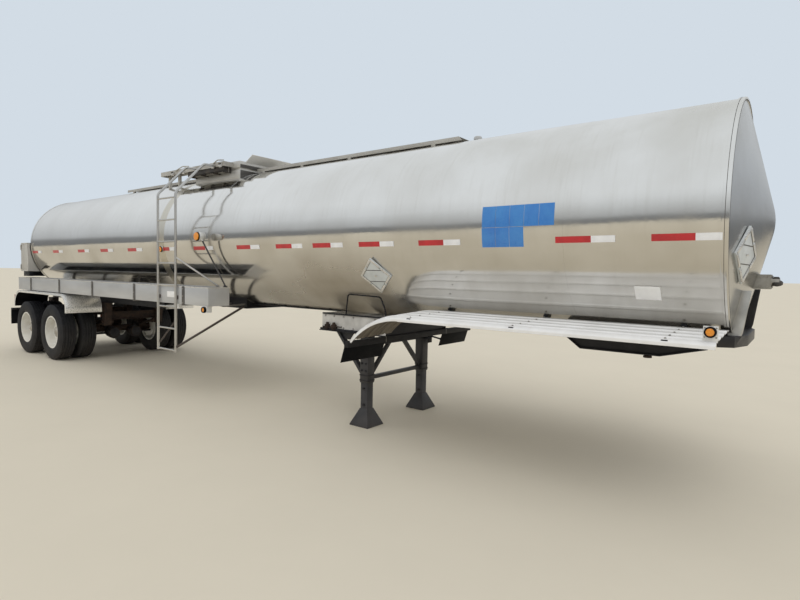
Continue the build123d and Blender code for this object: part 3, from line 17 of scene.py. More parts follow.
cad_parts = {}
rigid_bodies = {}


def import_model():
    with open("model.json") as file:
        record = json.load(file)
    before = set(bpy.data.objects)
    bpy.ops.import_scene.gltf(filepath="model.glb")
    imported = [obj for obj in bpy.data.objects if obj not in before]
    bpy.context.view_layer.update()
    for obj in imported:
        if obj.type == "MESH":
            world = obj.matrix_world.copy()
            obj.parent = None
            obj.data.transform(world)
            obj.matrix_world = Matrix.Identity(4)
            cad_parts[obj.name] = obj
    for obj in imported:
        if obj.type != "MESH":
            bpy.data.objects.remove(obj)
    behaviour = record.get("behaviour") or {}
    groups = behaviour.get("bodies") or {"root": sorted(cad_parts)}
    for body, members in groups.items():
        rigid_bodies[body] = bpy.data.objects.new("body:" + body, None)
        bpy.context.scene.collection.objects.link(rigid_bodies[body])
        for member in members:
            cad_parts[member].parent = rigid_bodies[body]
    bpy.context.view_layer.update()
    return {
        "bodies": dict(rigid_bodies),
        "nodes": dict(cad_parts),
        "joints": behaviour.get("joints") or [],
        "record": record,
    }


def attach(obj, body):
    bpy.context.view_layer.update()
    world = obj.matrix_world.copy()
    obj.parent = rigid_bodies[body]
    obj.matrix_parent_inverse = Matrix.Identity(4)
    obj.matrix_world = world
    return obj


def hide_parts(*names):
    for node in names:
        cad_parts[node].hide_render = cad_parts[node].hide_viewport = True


log = logging.getLogger("tank_trailer")

Point = Sequence[float]
Piece = bpy.types.Object
Colour = tuple[float, float, float]


class Body(Enum):
    """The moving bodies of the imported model."""

    TRAILER = "trailer"
    FRONT_LEFT = "front_left_wheels"
    FRONT_RIGHT = "front_right_wheels"
    REAR_LEFT = "rear_left_wheels"
    REAR_RIGHT = "rear_right_wheels"
    COVER = "manhole_cover"
    LEFT_DOOR = "left_door"
    RIGHT_DOOR = "right_door"


class Slot(Enum):
    """The record's material slots."""

    MIRROR = "mirror_stainless"
    STAINLESS = "stainless"
    BLACK = "black_paint"
    FENDER = "fender_sheet"
    WHEEL = "wheel_paint"
    WORN = "worn_steel"
    TYRE = "tyre"
    FLAP = "flap_rubber"
    GRIP = "grip_aluminium"
    AMBER = "amber"
    RED = "red"


class Pick(Enum):
    """What kind of mesh element an edit works on."""

    VERTEX = "VERT"
    EDGE = "EDGE"
    FACE = "FACE"


# Places that several assemblies share
RIM_X = 6.224
TAIL_X = -6.056
TANK_Z = 2.168
JACKET_RADIUS = 0.950
HEAD_RADIUS = 0.936
CONE_TURN = 13.7
WHEEL_Z = 0.510
AXLE_PLACES = (-4.3535, -5.5985)
UP, DOWN = (0, 0, 1), (0, 0, -1)
LEFT, RIGHT = (0, 1, 0), (0, -1, 0)
FORWARD, BACKWARD = (1, 0, 0), (-1, 0, 0)
FLIP = Matrix.Scale(-1, 4, LEFT)

# The body, the axle and the side of each pair of twin wheels
CORNERS = (
    (Body.FRONT_LEFT, AXLE_PLACES[0], 1), (Body.FRONT_RIGHT, AXLE_PLACES[0], -1),
    (Body.REAR_LEFT, AXLE_PLACES[1], 1), (Body.REAR_RIGHT, AXLE_PLACES[1], -1),
)

# How close two points lie to count as one
WELD = 0.00002


# Modelling steps


def clear_selection() -> None:
    """Return to object mode with nothing selected."""
    active = bpy.context.view_layer.objects.active
    if active and active.mode != "OBJECT":
        bpy.ops.object.mode_set(mode="OBJECT")
    bpy.ops.object.select_all(action="DESELECT")


def activate(piece: Piece) -> Piece:
    """Make one piece the only selected and the active object."""
    clear_selection()
    piece.select_set(True)
    bpy.context.view_layer.objects.active = piece
    return piece


@contextmanager
def editing(piece: Piece, kind: Pick = Pick.FACE, chosen: Optional[Callable] = None) -> Iterator[Piece]:
    """Edit a piece with some of its elements selected.

    Args:
        piece: The mesh object to edit.
        kind: Whether vertices, edges or faces are selected.
        chosen: Says of each element whether it is selected. All are when it is left out.
    """
    activate(piece)
    bpy.ops.object.mode_set(mode="EDIT")
    bpy.ops.mesh.select_mode(type=kind.value)
    bpy.ops.mesh.select_all(action="DESELECT" if chosen else "SELECT")
    if chosen:
        bpy.ops.object.mode_set(mode="OBJECT")
        mesh = piece.data
        elements = {Pick.VERTEX: mesh.vertices, Pick.EDGE: mesh.edges, Pick.FACE: mesh.polygons}[kind]
        for element in elements:
            element.select = bool(chosen(element))
        bpy.ops.object.mode_set(mode="EDIT")
    yield piece
    bpy.ops.object.mode_set(mode="OBJECT")


def modify(piece: Piece, kind: str, **settings: object) -> Piece:
    """Add a modifier with these settings and apply it."""
    activate(piece)
    modifier = piece.modifiers.new(kind.title(), kind)
    for name, value in settings.items():
        setattr(modifier, name, value)
    bpy.ops.object.modifier_apply(modifier=modifier.name)
    return piece


def soften(piece: Piece, width: float, segments: int = 2, angle: float = 35) -> Piece:
    """Bevel the sharp edges and shade the piece smooth.

    Args:
        piece: The piece to soften.
        width: The bevel's width, or 0 for none.
        segments: How many faces the bevel has across.
        angle: Edges sharper than this many degrees are bevelled.

    Returns:
        The same piece.
    """
    if width > 0:
        modify(
            piece, "BEVEL", width=width, segments=segments, limit_method="ANGLE", angle_limit=radians(angle)
        )
    activate(piece)
    bpy.ops.object.shade_smooth_by_angle(angle=radians(38))
    return piece


def settle(piece: Piece) -> Piece:
    """Put a piece's place, turn and scale into its mesh."""
    activate(piece)
    bpy.ops.object.transform_apply(location=True, rotation=True, scale=True)
    return piece


def block(low: Point, high: Point, bevel: float = 0.0015) -> Piece:
    """Return a bevelled block between its lowest and highest corners."""
    bpy.ops.mesh.primitive_cube_add(size=1, location=[(a + b) / 2 for a, b in zip(low, high)])
    piece = bpy.context.object
    piece.scale = [abs(b - a) for a, b in zip(low, high)]
    return soften(settle(piece), bevel)


def bar(start: Point, end: Point, width: float, depth: float, bevel: float = 0.0015) -> Piece:
    """Return a rectangular bar from start to end, its width kept level."""
    start, end = Vector(start), Vector(end)
    bpy.ops.mesh.primitive_cube_add(size=1, location=(start + end) / 2)
    piece = bpy.context.object
    piece.scale = (width, depth, (end - start).length)
    along = (end - start).normalized()
    across = along.cross(UP) if abs(along.z) < 0.999 else Vector(FORWARD)
    across.normalize()
    piece.rotation_euler = Matrix((across, along.cross(across), along)).transposed().to_euler()
    return soften(settle(piece), bevel)


def rod(start: Point, end: Point, radius: float, sides: int = 16, bevel: float = 0.001) -> Piece:
    """Return a round bar with softened ends from start to end."""
    start, end = Vector(start), Vector(end)
    bpy.ops.mesh.primitive_cylinder_add(
        vertices=sides,
        radius=radius,
        depth=(end - start).length,
        location=(start + end) / 2,
        rotation=(end - start).to_track_quat("Z", "Y").to_euler(),
    )
    return soften(settle(bpy.context.object), bevel, 1, 60)


def outline(points: Sequence[Point], closed: bool = True, filled: bool = False) -> Piece:
    """Return a loop, or an open line, of edges through the points."""
    bpy.ops.mesh.primitive_circle_add(vertices=len(points), fill_type="NGON" if filled else "NOTHING")
    piece = bpy.context.object
    for vertex, point in zip(piece.data.vertices, points):
        vertex.co = point
    if not closed:
        ends = {0, len(points) - 1}
        with editing(piece, Pick.EDGE, lambda edge: set(edge.vertices) == ends):
            bpy.ops.mesh.delete(type="EDGE")
    return settle(piece)


def lathe(
    profile: Sequence[Point], centre: Point, axis: Point, steps: int = 32, closed: bool = False
) -> Piece:
    """Turn a profile round an axis.

    Args:
        profile: Pairs of radius and distance along the axis.
        centre: The point on the axis that distances are counted from.
        axis: The axis's direction.
        steps: How many faces the turned piece has round the axis.
        closed: Whether the profile's last point joins its first.

    Returns:
        The turned piece, with its normals outward.
    """
    centre, axis = Vector(centre), Vector(axis).normalized()
    away = axis.orthogonal().normalized()
    points = [centre + axis * along + away * radius for radius, along in profile]
    piece = outline(points, closed)
    with editing(piece, Pick.VERTEX):
        bpy.ops.mesh.spin(steps=steps, angle=2 * pi, center=centre, axis=axis)
        bpy.ops.mesh.select_all(action="SELECT")
        bpy.ops.mesh.remove_doubles(threshold=WELD)
        bpy.ops.mesh.normals_make_consistent(inside=False)
    return piece


def turned(
    profile: Sequence[Point], centre: Point, axis: Point, steps: int = 32, closed: bool = False,
    bevel: float = 0.0,
) -> Piece:
    """Return a lathed piece that is shaded smooth, its corners bevelled where a bevel is given."""
    return soften(lathe(profile, centre, axis, steps, closed), bevel, 1, 50)


def sheet_metal(points: Sequence[Point], push: Point, bevel: float = 0.001) -> Piece:
    """Return a plate cut to a flat outline and given its thickness by a push."""
    piece = outline(points, filled=True)
    with editing(piece):
        bpy.ops.mesh.extrude_region_move(TRANSFORM_OT_translate={"value": tuple(push)})
        bpy.ops.mesh.select_all(action="SELECT")
        bpy.ops.mesh.normals_make_consistent(inside=False)
    return soften(piece, bevel, 1)


def tube(points: Sequence[Point], radius: float, bend: float = 0.0, sides: int = 8) -> Piece:
    """Return a pipe along the points, with each corner bent to a radius.

    Args:
        points: The corners of the pipe's centre line.
        radius: The pipe's outer radius.
        bend: How far from each corner the bend starts.
        sides: How many faces the pipe has round it.

    Returns:
        The pipe as a closed mesh.
    """
    piece = outline(points, closed=False)
    if bend and len(points) > 2:
        ends = (Vector(points[0]), Vector(points[-1]))

        def inner(vertex: bpy.types.MeshVertex) -> bool:
            """Say whether a corner lies between the pipe's ends."""
            return all((vertex.co - end).length > WELD / 2 for end in ends)

        with editing(piece, Pick.VERTEX, inner):
            bpy.ops.mesh.bevel(offset=bend, segments=5, affect="VERTICES")
    activate(piece)
    bpy.ops.object.convert(target="CURVE")
    piece.data.bevel_depth = radius
    piece.data.bevel_resolution = max(0, sides // 4 - 1)
    piece.data.use_fill_caps = True
    bpy.ops.object.convert(target="MESH")
    piece = bpy.context.object
    with editing(piece):
        bpy.ops.mesh.remove_doubles(threshold=WELD)
        bpy.ops.mesh.normals_make_consistent(inside=False)
    return soften(piece, 0)


def copy_to(piece: Piece, *places: Matrix) -> list[Piece]:
    """Return copies of a piece, each with its own mesh turned and moved by a matrix."""
    copies = []
    for place in places:
        twin = bpy.data.objects.new(piece.name, piece.data.copy())
        bpy.context.scene.collection.objects.link(twin)
        twin.data.transform(place)
        if place.determinant() < 0:
            twin.data.flip_normals()
        copies.append(twin)
    return copies


def discard(*pieces: Piece) -> None:
    """Remove pieces that only served to make others."""
    for piece in pieces:
        bpy.data.objects.remove(piece)


def join(pieces: Iterable[Piece]) -> Piece:
    """Join pieces into the first of them."""
    pieces = list(pieces)
    activate(pieces[0])
    for piece in pieces:
        piece.select_set(True)
    if len(pieces) > 1:
        bpy.ops.object.join()
    return bpy.context.object


def mirrored(pieces: Sequence[Piece]) -> list[Piece]:
    """Return the pieces and their mirror images on the other side of the trailer."""
    return list(pieces) + [copy_to(piece, FLIP)[0] for piece in pieces]


def facing(place: Point, normal: Point) -> Matrix:
    """Return the matrix that stands a piece made on +Z at a place, along a normal."""
    return Matrix.Translation(Vector(place)) @ Vector(normal).to_track_quat("Z", "Y").to_matrix().to_4x4()


def bolts(places: Iterable[tuple[Point, Point]], radius: float = 0.008) -> Piece:
    """Return hexagon bolt heads on washers at places, each along its normal."""
    reach, rise = radius * 1.55, radius * 0.3
    washer = lathe(((0, 0), (reach, 0), (reach, rise), (0, rise)), (0, 0, 0), UP, 12)
    middle = (0, 0, radius * 0.8)
    bpy.ops.mesh.primitive_cylinder_add(vertices=6, radius=radius, depth=radius * 1.1, location=middle)
    head = soften(settle(bpy.context.object), radius * 0.12, 1)
    bolt = join((head, washer))
    heads = copy_to(bolt, *(facing(place, normal) for place, normal in places))
    discard(bolt)
    return join(heads)


# Finishes


def node_group(name: str, sockets: dict[str, tuple[str, object]], results: dict[str, str]) -> tuple:
    """Start a shader node group.

    Args:
        name: The group's name.
        sockets: Each input's name with its socket type and default.
        results: Each output's name with its socket type.

    Returns:
        The group, its input node and its output node.
    """
    tree = bpy.data.node_groups.new(name, "ShaderNodeTree")
    for label, (kind, default) in sockets.items():
        socket = tree.interface.new_socket(label, in_out="INPUT", socket_type=kind)
        if default is not None:
            socket.default_value = default
    for label, kind in results.items():
        tree.interface.new_socket(label, in_out="OUTPUT", socket_type=kind)
    return tree, tree.nodes.new("NodeGroupInput"), tree.nodes.new("NodeGroupOutput")


class Wiring:
    """Short ways to add and link shader nodes in one tree."""

    def __init__(self, tree: bpy.types.NodeTree) -> None:
        """Keep the tree that nodes are added to."""
        self.tree = tree

    def add(self, kind: str, inputs: Optional[dict] = None, **settings: object) -> bpy.types.Node:
        """Add a node, link or set its inputs, and set its properties."""
        node = self.tree.nodes.new(kind)
        for name, value in settings.items():
            setattr(node, name, value)
        for label, value in (inputs or {}).items():
            if isinstance(value, bpy.types.NodeSocket):
                self.tree.links.new(value, node.inputs[label])
            else:
                node.inputs[label].default_value = value
        return node

    def math(self, operation: str, first: object, second: object = 0.0, clamp: bool = False) -> object:
        """Return the result of a Math node."""
        node = self.add("ShaderNodeMath", {0: first, 1: second}, operation=operation, use_clamp=clamp)
        return node.outputs[0]

    def times(self, first: object, second: object, clamp: bool = False) -> object:
        """Return a product."""
        return self.math("MULTIPLY", first, second, clamp)

    def plus(self, first: object, second: object, clamp: bool = False) -> object:
        """Return a sum."""
        return self.math("ADD", first, second, clamp)

    def mix(self, factor: object, first: object, second: object) -> object:
        """Return a mix of two colours."""
        node = self.add("ShaderNodeMix", data_type="RGBA")
        for index, value in ((0, factor), (6, first), (7, second)):
            if isinstance(value, bpy.types.NodeSocket):
                self.tree.links.new(value, node.inputs[index])
            else:
                node.inputs[index].default_value = value if index == 0 else (*value[:3], 1)
        return node.outputs[2]

    def span(self, value: object, low: float, high: float, first: float = 0.0, last: float = 1.0) -> object:
        """Return a value carried from one span to another, held at the ends."""
        inputs = {"Value": value, "From Min": low, "From Max": high, "To Min": first, "To Max": last}
        return self.add("ShaderNodeMapRange", inputs).outputs[0]


def patina_group() -> bpy.types.NodeTree:
    """Return the group that varies a surface with broad patches, fine grain and relief."""
    if "surface_patina" in bpy.data.node_groups:
        return bpy.data.node_groups["surface_patina"]
    tree, start, end = node_group(
        "surface_patina",
        {
            "Vector": ("NodeSocketVector", None),
            "Stretch": ("NodeSocketVector", (1, 1, 1)),
            "Scale": ("NodeSocketFloat", 4.0),
            "Grain Scale": ("NodeSocketFloat", 60.0),
        },
        {"Patches": "NodeSocketFloat", "Grain": "NodeSocketFloat", "Relief": "NodeSocketFloat"},
    )
    wiring = Wiring(tree)
    given = start.outputs
    factors = {0: given["Vector"], 1: given["Stretch"]}
    spot = wiring.add("ShaderNodeVectorMath", factors, operation="MULTIPLY").outputs[0]
    broad = wiring.add("ShaderNodeTexNoise", {"Vector": spot, "Scale": given["Scale"], "Detail": 5.0})
    fine = wiring.add("ShaderNodeTexNoise", {"Vector": spot, "Scale": given["Grain Scale"], "Detail": 3.0})
    patches = wiring.span(broad.outputs[0], 0.36, 0.66)
    grain = wiring.span(fine.outputs[0], 0.3, 0.7)
    relief = wiring.plus(wiring.times(grain, 0.35), wiring.times(patches, 0.65))
    for label, value in (("Patches", patches), ("Grain", grain), ("Relief", relief)):
        tree.links.new(value, end.inputs[label])
    return tree


def dust_group() -> bpy.types.NodeTree:
    """Return the group that says how much road dust lies at each height."""
    if "road_dust" in bpy.data.node_groups:
        return bpy.data.node_groups["road_dust"]
    tree, start, end = node_group(
        "road_dust",
        {
            "Vector": ("NodeSocketVector", None),
            "Amount": ("NodeSocketFloat", 0.4),
            "Top": ("NodeSocketFloat", 1.2),
        },
        {"Dust": "NodeSocketFloat"},
    )
    wiring = Wiring(tree)
    height = wiring.add("ShaderNodeSeparateXYZ", {0: start.outputs["Vector"]}).outputs[2]
    fade = wiring.math("SUBTRACT", 1.0, wiring.math("DIVIDE", height, start.outputs["Top"]), clamp=True)
    cloud = wiring.add("ShaderNodeTexNoise", {"Vector": start.outputs["Vector"], "Scale": 5.0, "Detail": 6.0})
    spread = wiring.span(cloud.outputs[0], 0.3, 0.7, 0.35, 1.0)
    dust = wiring.times(wiring.times(fade, spread), start.outputs["Amount"], clamp=True)
    tree.links.new(dust, end.inputs["Dust"])
    return tree


@dataclass(frozen=True)
class Finish:
    """A surface finish with patches, grain, relief and road dust."""

    name: str
    slot: Optional[Slot]
    colour: Colour
    second: Colour
    metallic: float = 0.0
    roughness: tuple[float, float] = (0.4, 0.6)
    scale: float = 5.0
    grain_scale: float = 90.0
    stretch: tuple[float, float, float] = (1.0, 1.0, 1.0)
    relief: float = 0.0004
    dust: float = 0.25
    dust_top: float = 1.6
    dust_colour: Colour = (0.42, 0.34, 0.25)
    coat: float = 0.0
    specular: float = 0.5

    def material(self) -> bpy.types.Material:
        """Return the finish's material, built on first use."""
        if self.name in bpy.data.materials:
            return bpy.data.materials[self.name]
        material = bpy.data.materials.new(self.name)
        material.use_nodes = True
        wiring = Wiring(material.node_tree)
        shader = material.node_tree.nodes["Principled BSDF"]
        shader.inputs["Metallic"].default_value = self.metallic
        shader.inputs["Coat Weight"].default_value = self.coat
        shader.inputs["Coat Roughness"].default_value = 0.12
        shader.inputs["Specular IOR Level"].default_value = self.specular
        self.wire(wiring, shader)
        return material

    def surface(self, wiring: Wiring) -> tuple:
        """Add the object coordinates, the patina and the dust, and return the three nodes."""
        place = wiring.add("ShaderNodeTexCoord").outputs["Object"]
        patina = wiring.add("ShaderNodeGroup", node_tree=patina_group())
        values = {"Stretch": self.stretch, "Scale": self.scale, "Grain Scale": self.grain_scale}
        for label, value in values.items():
            patina.inputs[label].default_value = value
        dust = wiring.add("ShaderNodeGroup", node_tree=dust_group())
        dust.inputs["Amount"].default_value = self.dust
        dust.inputs["Top"].default_value = self.dust_top
        for node in (patina, dust):
            wiring.tree.links.new(place, node.inputs["Vector"])
        return place, patina, dust

    def wire(self, wiring: Wiring, shader: bpy.types.Node) -> None:
        """Link the finish's colour, roughness and relief to the shader."""
        _, patina, dust = self.surface(wiring)
        colour = wiring.mix(patina.outputs["Patches"], self.colour, self.second)
        self.connect(wiring, shader, patina, dust, colour)

    def connect(
        self,
        wiring: Wiring,
        shader: bpy.types.Node,
        patina: bpy.types.Node,
        dust: bpy.types.Node,
        colour: object,
        extra_relief: object = None,
    ) -> None:
        """Finish the wiring from a colour.

        Args:
            wiring: The material's wiring.
            shader: The Principled BSDF.
            patina: The patina group's node.
            dust: The dust group's node.
            colour: The colour before dust.
            extra_relief: A further height in millimetres, such as a tread pattern.
        """
        tree = wiring.tree
        dusted = wiring.mix(dust.outputs["Dust"], colour, self.dust_colour)
        tree.links.new(dusted, shader.inputs["Base Color"])
        rough = wiring.span(patina.outputs["Grain"], 0, 1, *self.roughness)
        dusty = wiring.plus(rough, wiring.times(dust.outputs["Dust"], 0.5), clamp=True)
        tree.links.new(dusty, shader.inputs["Roughness"])
        height = patina.outputs["Relief"]
        if extra_relief is not None:
            height = wiring.plus(height, extra_relief)
        bump = wiring.add("ShaderNodeBump", {"Height": height, "Distance": self.relief, "Strength": 1.0})
        tree.links.new(bump.outputs[0], shader.inputs["Normal"])


@dataclass(frozen=True)
class JacketFinish(Finish):
    """Polished sheet with rain streaks, painted shade with dust patches below the belt line, soil, worn
    polish and a dull repair band.

    A pair of heights or places says where a layer starts to fade and where it has its full or last value.
    """

    streak_stretch: Point = (11.0, 0.7, 0.7)
    streak_scale: float = 2.6
    streak_span: tuple[float, float] = (0.52, 0.85)
    streak_share: float = 0.16
    streak_colour: Colour = (0.50, 0.46, 0.38)
    # Painted shade: this darker brownish layer below the belt line stands in for the shaded ground that the
    # lower sheet reflects; patches mottle it like dust, and its cut eases it lower down.
    shade_and_dust: float = 0.60
    shade_and_dust_heights: tuple[float, float] = (2.30, 2.02)
    shade_and_dust_cut: float = 0.50
    shade_and_dust_cut_heights: tuple[float, float] = (1.80, 1.55)
    shade_and_dust_colour: Colour = (0.43, 0.395, 0.335)
    belly_heights: tuple[float, float] = (1.50, 1.30)
    belly_rough: float = 0.12
    dull_band: tuple[float, float] = (-1.034, -0.834)
    dull_edge: float = 0.02
    dull_share: float = 0.55
    dull_colour: Colour = (0.62, 0.56, 0.42)
    soil_spans: tuple = ((0.6, 2.0), (3.15, 3.42))
    soil_heights: tuple[float, float] = (2.00, 1.60)
    soil_share: float = 0.80
    soil_metallic: float = 0.45
    soil_colour: Colour = (0.30, 0.255, 0.185)
    worn_places: tuple[float, float] = (1.5, 5.0)
    worn_heights: tuple[float, float] = (2.45, 3.0)
    worn_shares: tuple[float, float] = (0.15, 0.42)
    worn_colour: Colour = (0.60, 0.57, 0.48)

    def wire(self, wiring: Wiring, shader: bpy.types.Node) -> None:
        """Link the jacket's layers to the shader."""
        place, patina, dust = self.surface(wiring)
        span, times, plus = wiring.span, wiring.times, wiring.plus
        patches = patina.outputs["Patches"]
        thin = wiring.add("ShaderNodeVectorMath", {0: place, 1: self.streak_stretch}, operation="MULTIPLY")
        settings = {"Vector": thin.outputs[0], "Scale": self.streak_scale, "Detail": 8.0, "Roughness": 0.60}
        streaks = span(wiring.add("ShaderNodeTexNoise", settings).outputs[0], *self.streak_span)
        axes = wiring.add("ShaderNodeSeparateXYZ", {0: place}).outputs
        along, height = axes[0], axes[2]
        # Painted shade below the belt line, for the shaded ground in the reflection, mottled in patches like
        # dust.
        cut = span(height, *self.shade_and_dust_cut_heights, 0.0, self.shade_and_dust_cut * self.shade_and_dust)
        shade_and_dust = wiring.math("SUBTRACT", span(height, *self.shade_and_dust_heights, 0.0, self.shade_and_dust), cut)
        shade_and_dust = times(shade_and_dust, span(patches, 0, 1, 0.82, 1.12), clamp=True)
        belly = span(height, *self.belly_heights, 0.0, self.belly_rough)
        low, high = self.dull_band
        enter = span(along, low, low + self.dull_edge)
        leave = span(along, high - self.dull_edge, high, 1.0, 0.0)
        band = times(times(enter, leave), self.dull_share)
        soil = times(span(along, *self.soil_spans[0]), span(along, *self.soil_spans[1], 1.0, 0.0))
        soil = times(soil, span(height, *self.soil_heights, 0.0, self.soil_share))
        soil = times(soil, span(patches, 0, 1, 0.7, 1.0))
        worn = times(span(along, *self.worn_places), span(height, *self.worn_heights, *self.worn_shares))
        worn = times(worn, span(patches, 0, 1, 0.25, 1.0))
        colour = wiring.mix(patches, self.colour, self.second)
        for share, layer in (
            (times(streaks, self.streak_share), self.streak_colour), (shade_and_dust, self.shade_and_dust_colour),
            (worn, self.worn_colour), (band, self.dull_colour), (soil, self.soil_colour),
        ):
            colour = wiring.mix(share, colour, layer)
        self.connect(wiring, shader, patina, dust, colour)
        metal = span(soil, 0.0, 1.0, self.metallic, self.soil_metallic)
        wiring.tree.links.new(metal, shader.inputs["Metallic"])
        rough = plus(span(patches, 0, 1, *self.roughness), times(streaks, 0.04))
        rough = plus(rough, plus(belly, times(shade_and_dust, 0.06)))
        rough = plus(rough, times(plus(soil, worn), 0.35))
        wiring.tree.links.new(plus(rough, times(band, 0.4), clamp=True), shader.inputs["Roughness"])


@dataclass(frozen=True)
class PatternFinish(Finish):
    """A finish with a small repeated raised pattern, such as tape cells or grip dimples."""

    cell: float = 0.004
    depth: float = 1.0

    def wire(self, wiring: Wiring, shader: bpy.types.Node) -> None:
        """Link the pattern's cells to the colour and relief."""
        place, patina, dust = self.surface(wiring)
        cells = wiring.add(
            "ShaderNodeTexVoronoi", {"Vector": place, "Scale": 1 / self.cell}, feature="DISTANCE_TO_EDGE"
        )
        edge = wiring.span(cells.outputs["Distance"], 0.02, 0.12)
        colour = wiring.mix(patina.outputs["Patches"], self.colour, self.second)
        colour = wiring.mix(wiring.math("SUBTRACT", 0.35, wiring.times(edge, 0.35)), colour, self.second)
        raised = wiring.times(edge, self.depth)
        self.connect(wiring, shader, patina, dust, colour, raised)


@dataclass(frozen=True)
class SplitFinish(Finish):
    """A finish whose faces inside some zones of the model wear another colour.

    A zone whose lowest y is not negative counts on both sides.
    """

    other: Colour = (0.02, 0.02, 0.02)
    other_metallic: float = 0.0
    zones: tuple[tuple[Point, Point], ...] = ()

    def mask(self, wiring: Wiring, place: object, low: Point, high: Point) -> object:
        """Return a value that is one inside a zone and nothing outside it."""
        axes = list(wiring.add("ShaderNodeSeparateXYZ", {0: place}).outputs)
        if low[1] >= 0:
            axes[1] = wiring.math("ABSOLUTE", axes[1])
        inside: object = 1.0
        for axis, least, most in zip(axes, low, high):
            inside = wiring.times(inside, wiring.math("GREATER_THAN", axis, least))
            inside = wiring.times(inside, wiring.math("LESS_THAN", axis, most))
        return inside

    def wire(self, wiring: Wiring, shader: bpy.types.Node) -> None:
        """Link the two colours through the zones' mask."""
        place, patina, dust = self.surface(wiring)
        inside: object = 0.0
        for low, high in self.zones:
            inside = wiring.math("MAXIMUM", inside, self.mask(wiring, place, low, high))
        colour = wiring.mix(patina.outputs["Patches"], self.colour, self.second)
        darker = tuple(0.72 * part for part in self.other)
        other = wiring.mix(patina.outputs["Patches"], self.other, darker)
        colour = wiring.mix(inside, colour, other)
        metal = wiring.span(inside, 0.0, 1.0, self.metallic, self.other_metallic)
        wiring.tree.links.new(metal, shader.inputs["Metallic"])
        self.connect(wiring, shader, patina, dust, colour)


@dataclass(frozen=True)
class LensFinish(Finish):
    """A coloured lamp lens with a fine pattern moulded inside."""

    pattern_scale: float = 240.0

    def wire(self, wiring: Wiring, shader: bpy.types.Node) -> None:
        """Link the lens's moulded pattern to its colour and relief."""
        place, patina, dust = self.surface(wiring)
        checks = wiring.add("ShaderNodeTexChecker", {"Vector": place, "Scale": self.pattern_scale})
        cells = checks.outputs["Fac"]
        colour = wiring.mix(cells, self.colour, self.second)
        self.connect(wiring, shader, patina, dust, colour, cells)


# Both polished finishes paint shade below the belt line, the heads more weakly.
JACKET = JacketFinish(
    "polished_jacket", Slot.MIRROR, (0.92, 0.915, 0.90), (0.85, 0.84, 0.82), 1.0, (0.06, 0.12), 1.4, 40.0,
    (1.0, 1.0, 1.0), 0.0002, 0.10, 2.4, (0.45, 0.38, 0.28),
)
HEAD_SHEET = JacketFinish(
    "polished_heads", Slot.MIRROR, (0.60, 0.61, 0.625), (0.50, 0.505, 0.52), 1.0, (0.09, 0.16), 1.8, 40.0,
    (1.0, 1.0, 1.0), 0.0002, 0.10, 2.4, (0.45, 0.38, 0.28), shade_and_dust=0.35,
)
SATIN = Finish(
    "satin_stainless", Slot.STAINLESS, (0.66, 0.65, 0.63), (0.54, 0.53, 0.51), 1.0, (0.26, 0.42), 2.5, 120.0,
    (0.4, 1.0, 1.6), 0.0002, 0.16, 2.4,
)
TRAY_SHEET = Finish(
    "tray_sheet", Slot.STAINLESS, (0.61, 0.62, 0.63), (0.50, 0.505, 0.51), 0.55, (0.38, 0.52), 2.5, 120.0,
    (0.4, 1.0, 1.6), 0.0002, 0.06, 2.2,
)
CABINET = Finish(
    "cabinet_sheet", Slot.STAINLESS, (0.60, 0.59, 0.555), (0.50, 0.485, 0.45), 0.1, (0.36, 0.5), 3.0, 110.0,
    (1.0, 1.0, 0.4), 0.0002, 0.12, 2.2,
)
BLACK = Finish(
    "chassis_black", Slot.BLACK, (0.010, 0.011, 0.015), (0.020, 0.021, 0.026), 0.0, (0.36, 0.6), 7.0, 130.0,
    relief=0.0006, dust=0.05, dust_top=1.7, specular=0.25,
)
WHITE_SHEET = Finish(
    "fender_white", Slot.FENDER, (0.87, 0.875, 0.87), (0.79, 0.79, 0.78), 0.0, (0.28, 0.45), 3.5, 90.0,
    (2.0, 0.6, 1.0), 0.0002, 0.07, 1.9, coat=0.2,
)
WHEEL_PAINT = Finish(
    "wheel_cream", Slot.WHEEL, (0.87, 0.865, 0.82), (0.76, 0.74, 0.67), 0.0, (0.3, 0.5), 9.0, 120.0,
    relief=0.0004, dust=0.12, dust_top=1.0, coat=0.15,
)
RUSTED = Finish(
    "rusted_steel", Slot.WORN, (0.024, 0.019, 0.018), (0.056, 0.036, 0.028), 0.15, (0.55, 0.8), 12.0, 160.0,
    relief=0.0012, dust=0.06, dust_top=1.5, specular=0.15,
)
RUBBER = Finish(
    "tyre_rubber", Slot.TYRE, (0.009, 0.010, 0.013), (0.017, 0.0185, 0.022), 0.0, (0.58, 0.8), 6.0, 220.0,
    relief=0.0005, dust=0.07, dust_top=1.1, specular=0.3,
)
FLAP = Finish(
    "dull_flap_rubber", Slot.FLAP, (0.004, 0.005, 0.0065), (0.008, 0.009, 0.0105), 0.0, (0.5, 0.7), 5.0,
    140.0, relief=0.0006, dust=0.02, dust_top=1.3, specular=0.08,
)
GRIP = PatternFinish(
    "grip_plate", Slot.GRIP, (0.60, 0.585, 0.545), (0.45, 0.435, 0.40), 0.55, (0.4, 0.6), 3.0, 90.0,
    relief=0.0015, dust=0.10, dust_top=4.0, cell=0.028, depth=1.2,
)
FLAP_PLATE = PatternFinish(
    "dam_flap_plate", Slot.GRIP, (0.90, 0.90, 0.885), (0.76, 0.76, 0.745), 0.2, (0.4, 0.6), 4.0, 90.0,
    relief=0.0010, dust=0.05, dust_top=4.0, cell=0.012, depth=0.8,
)
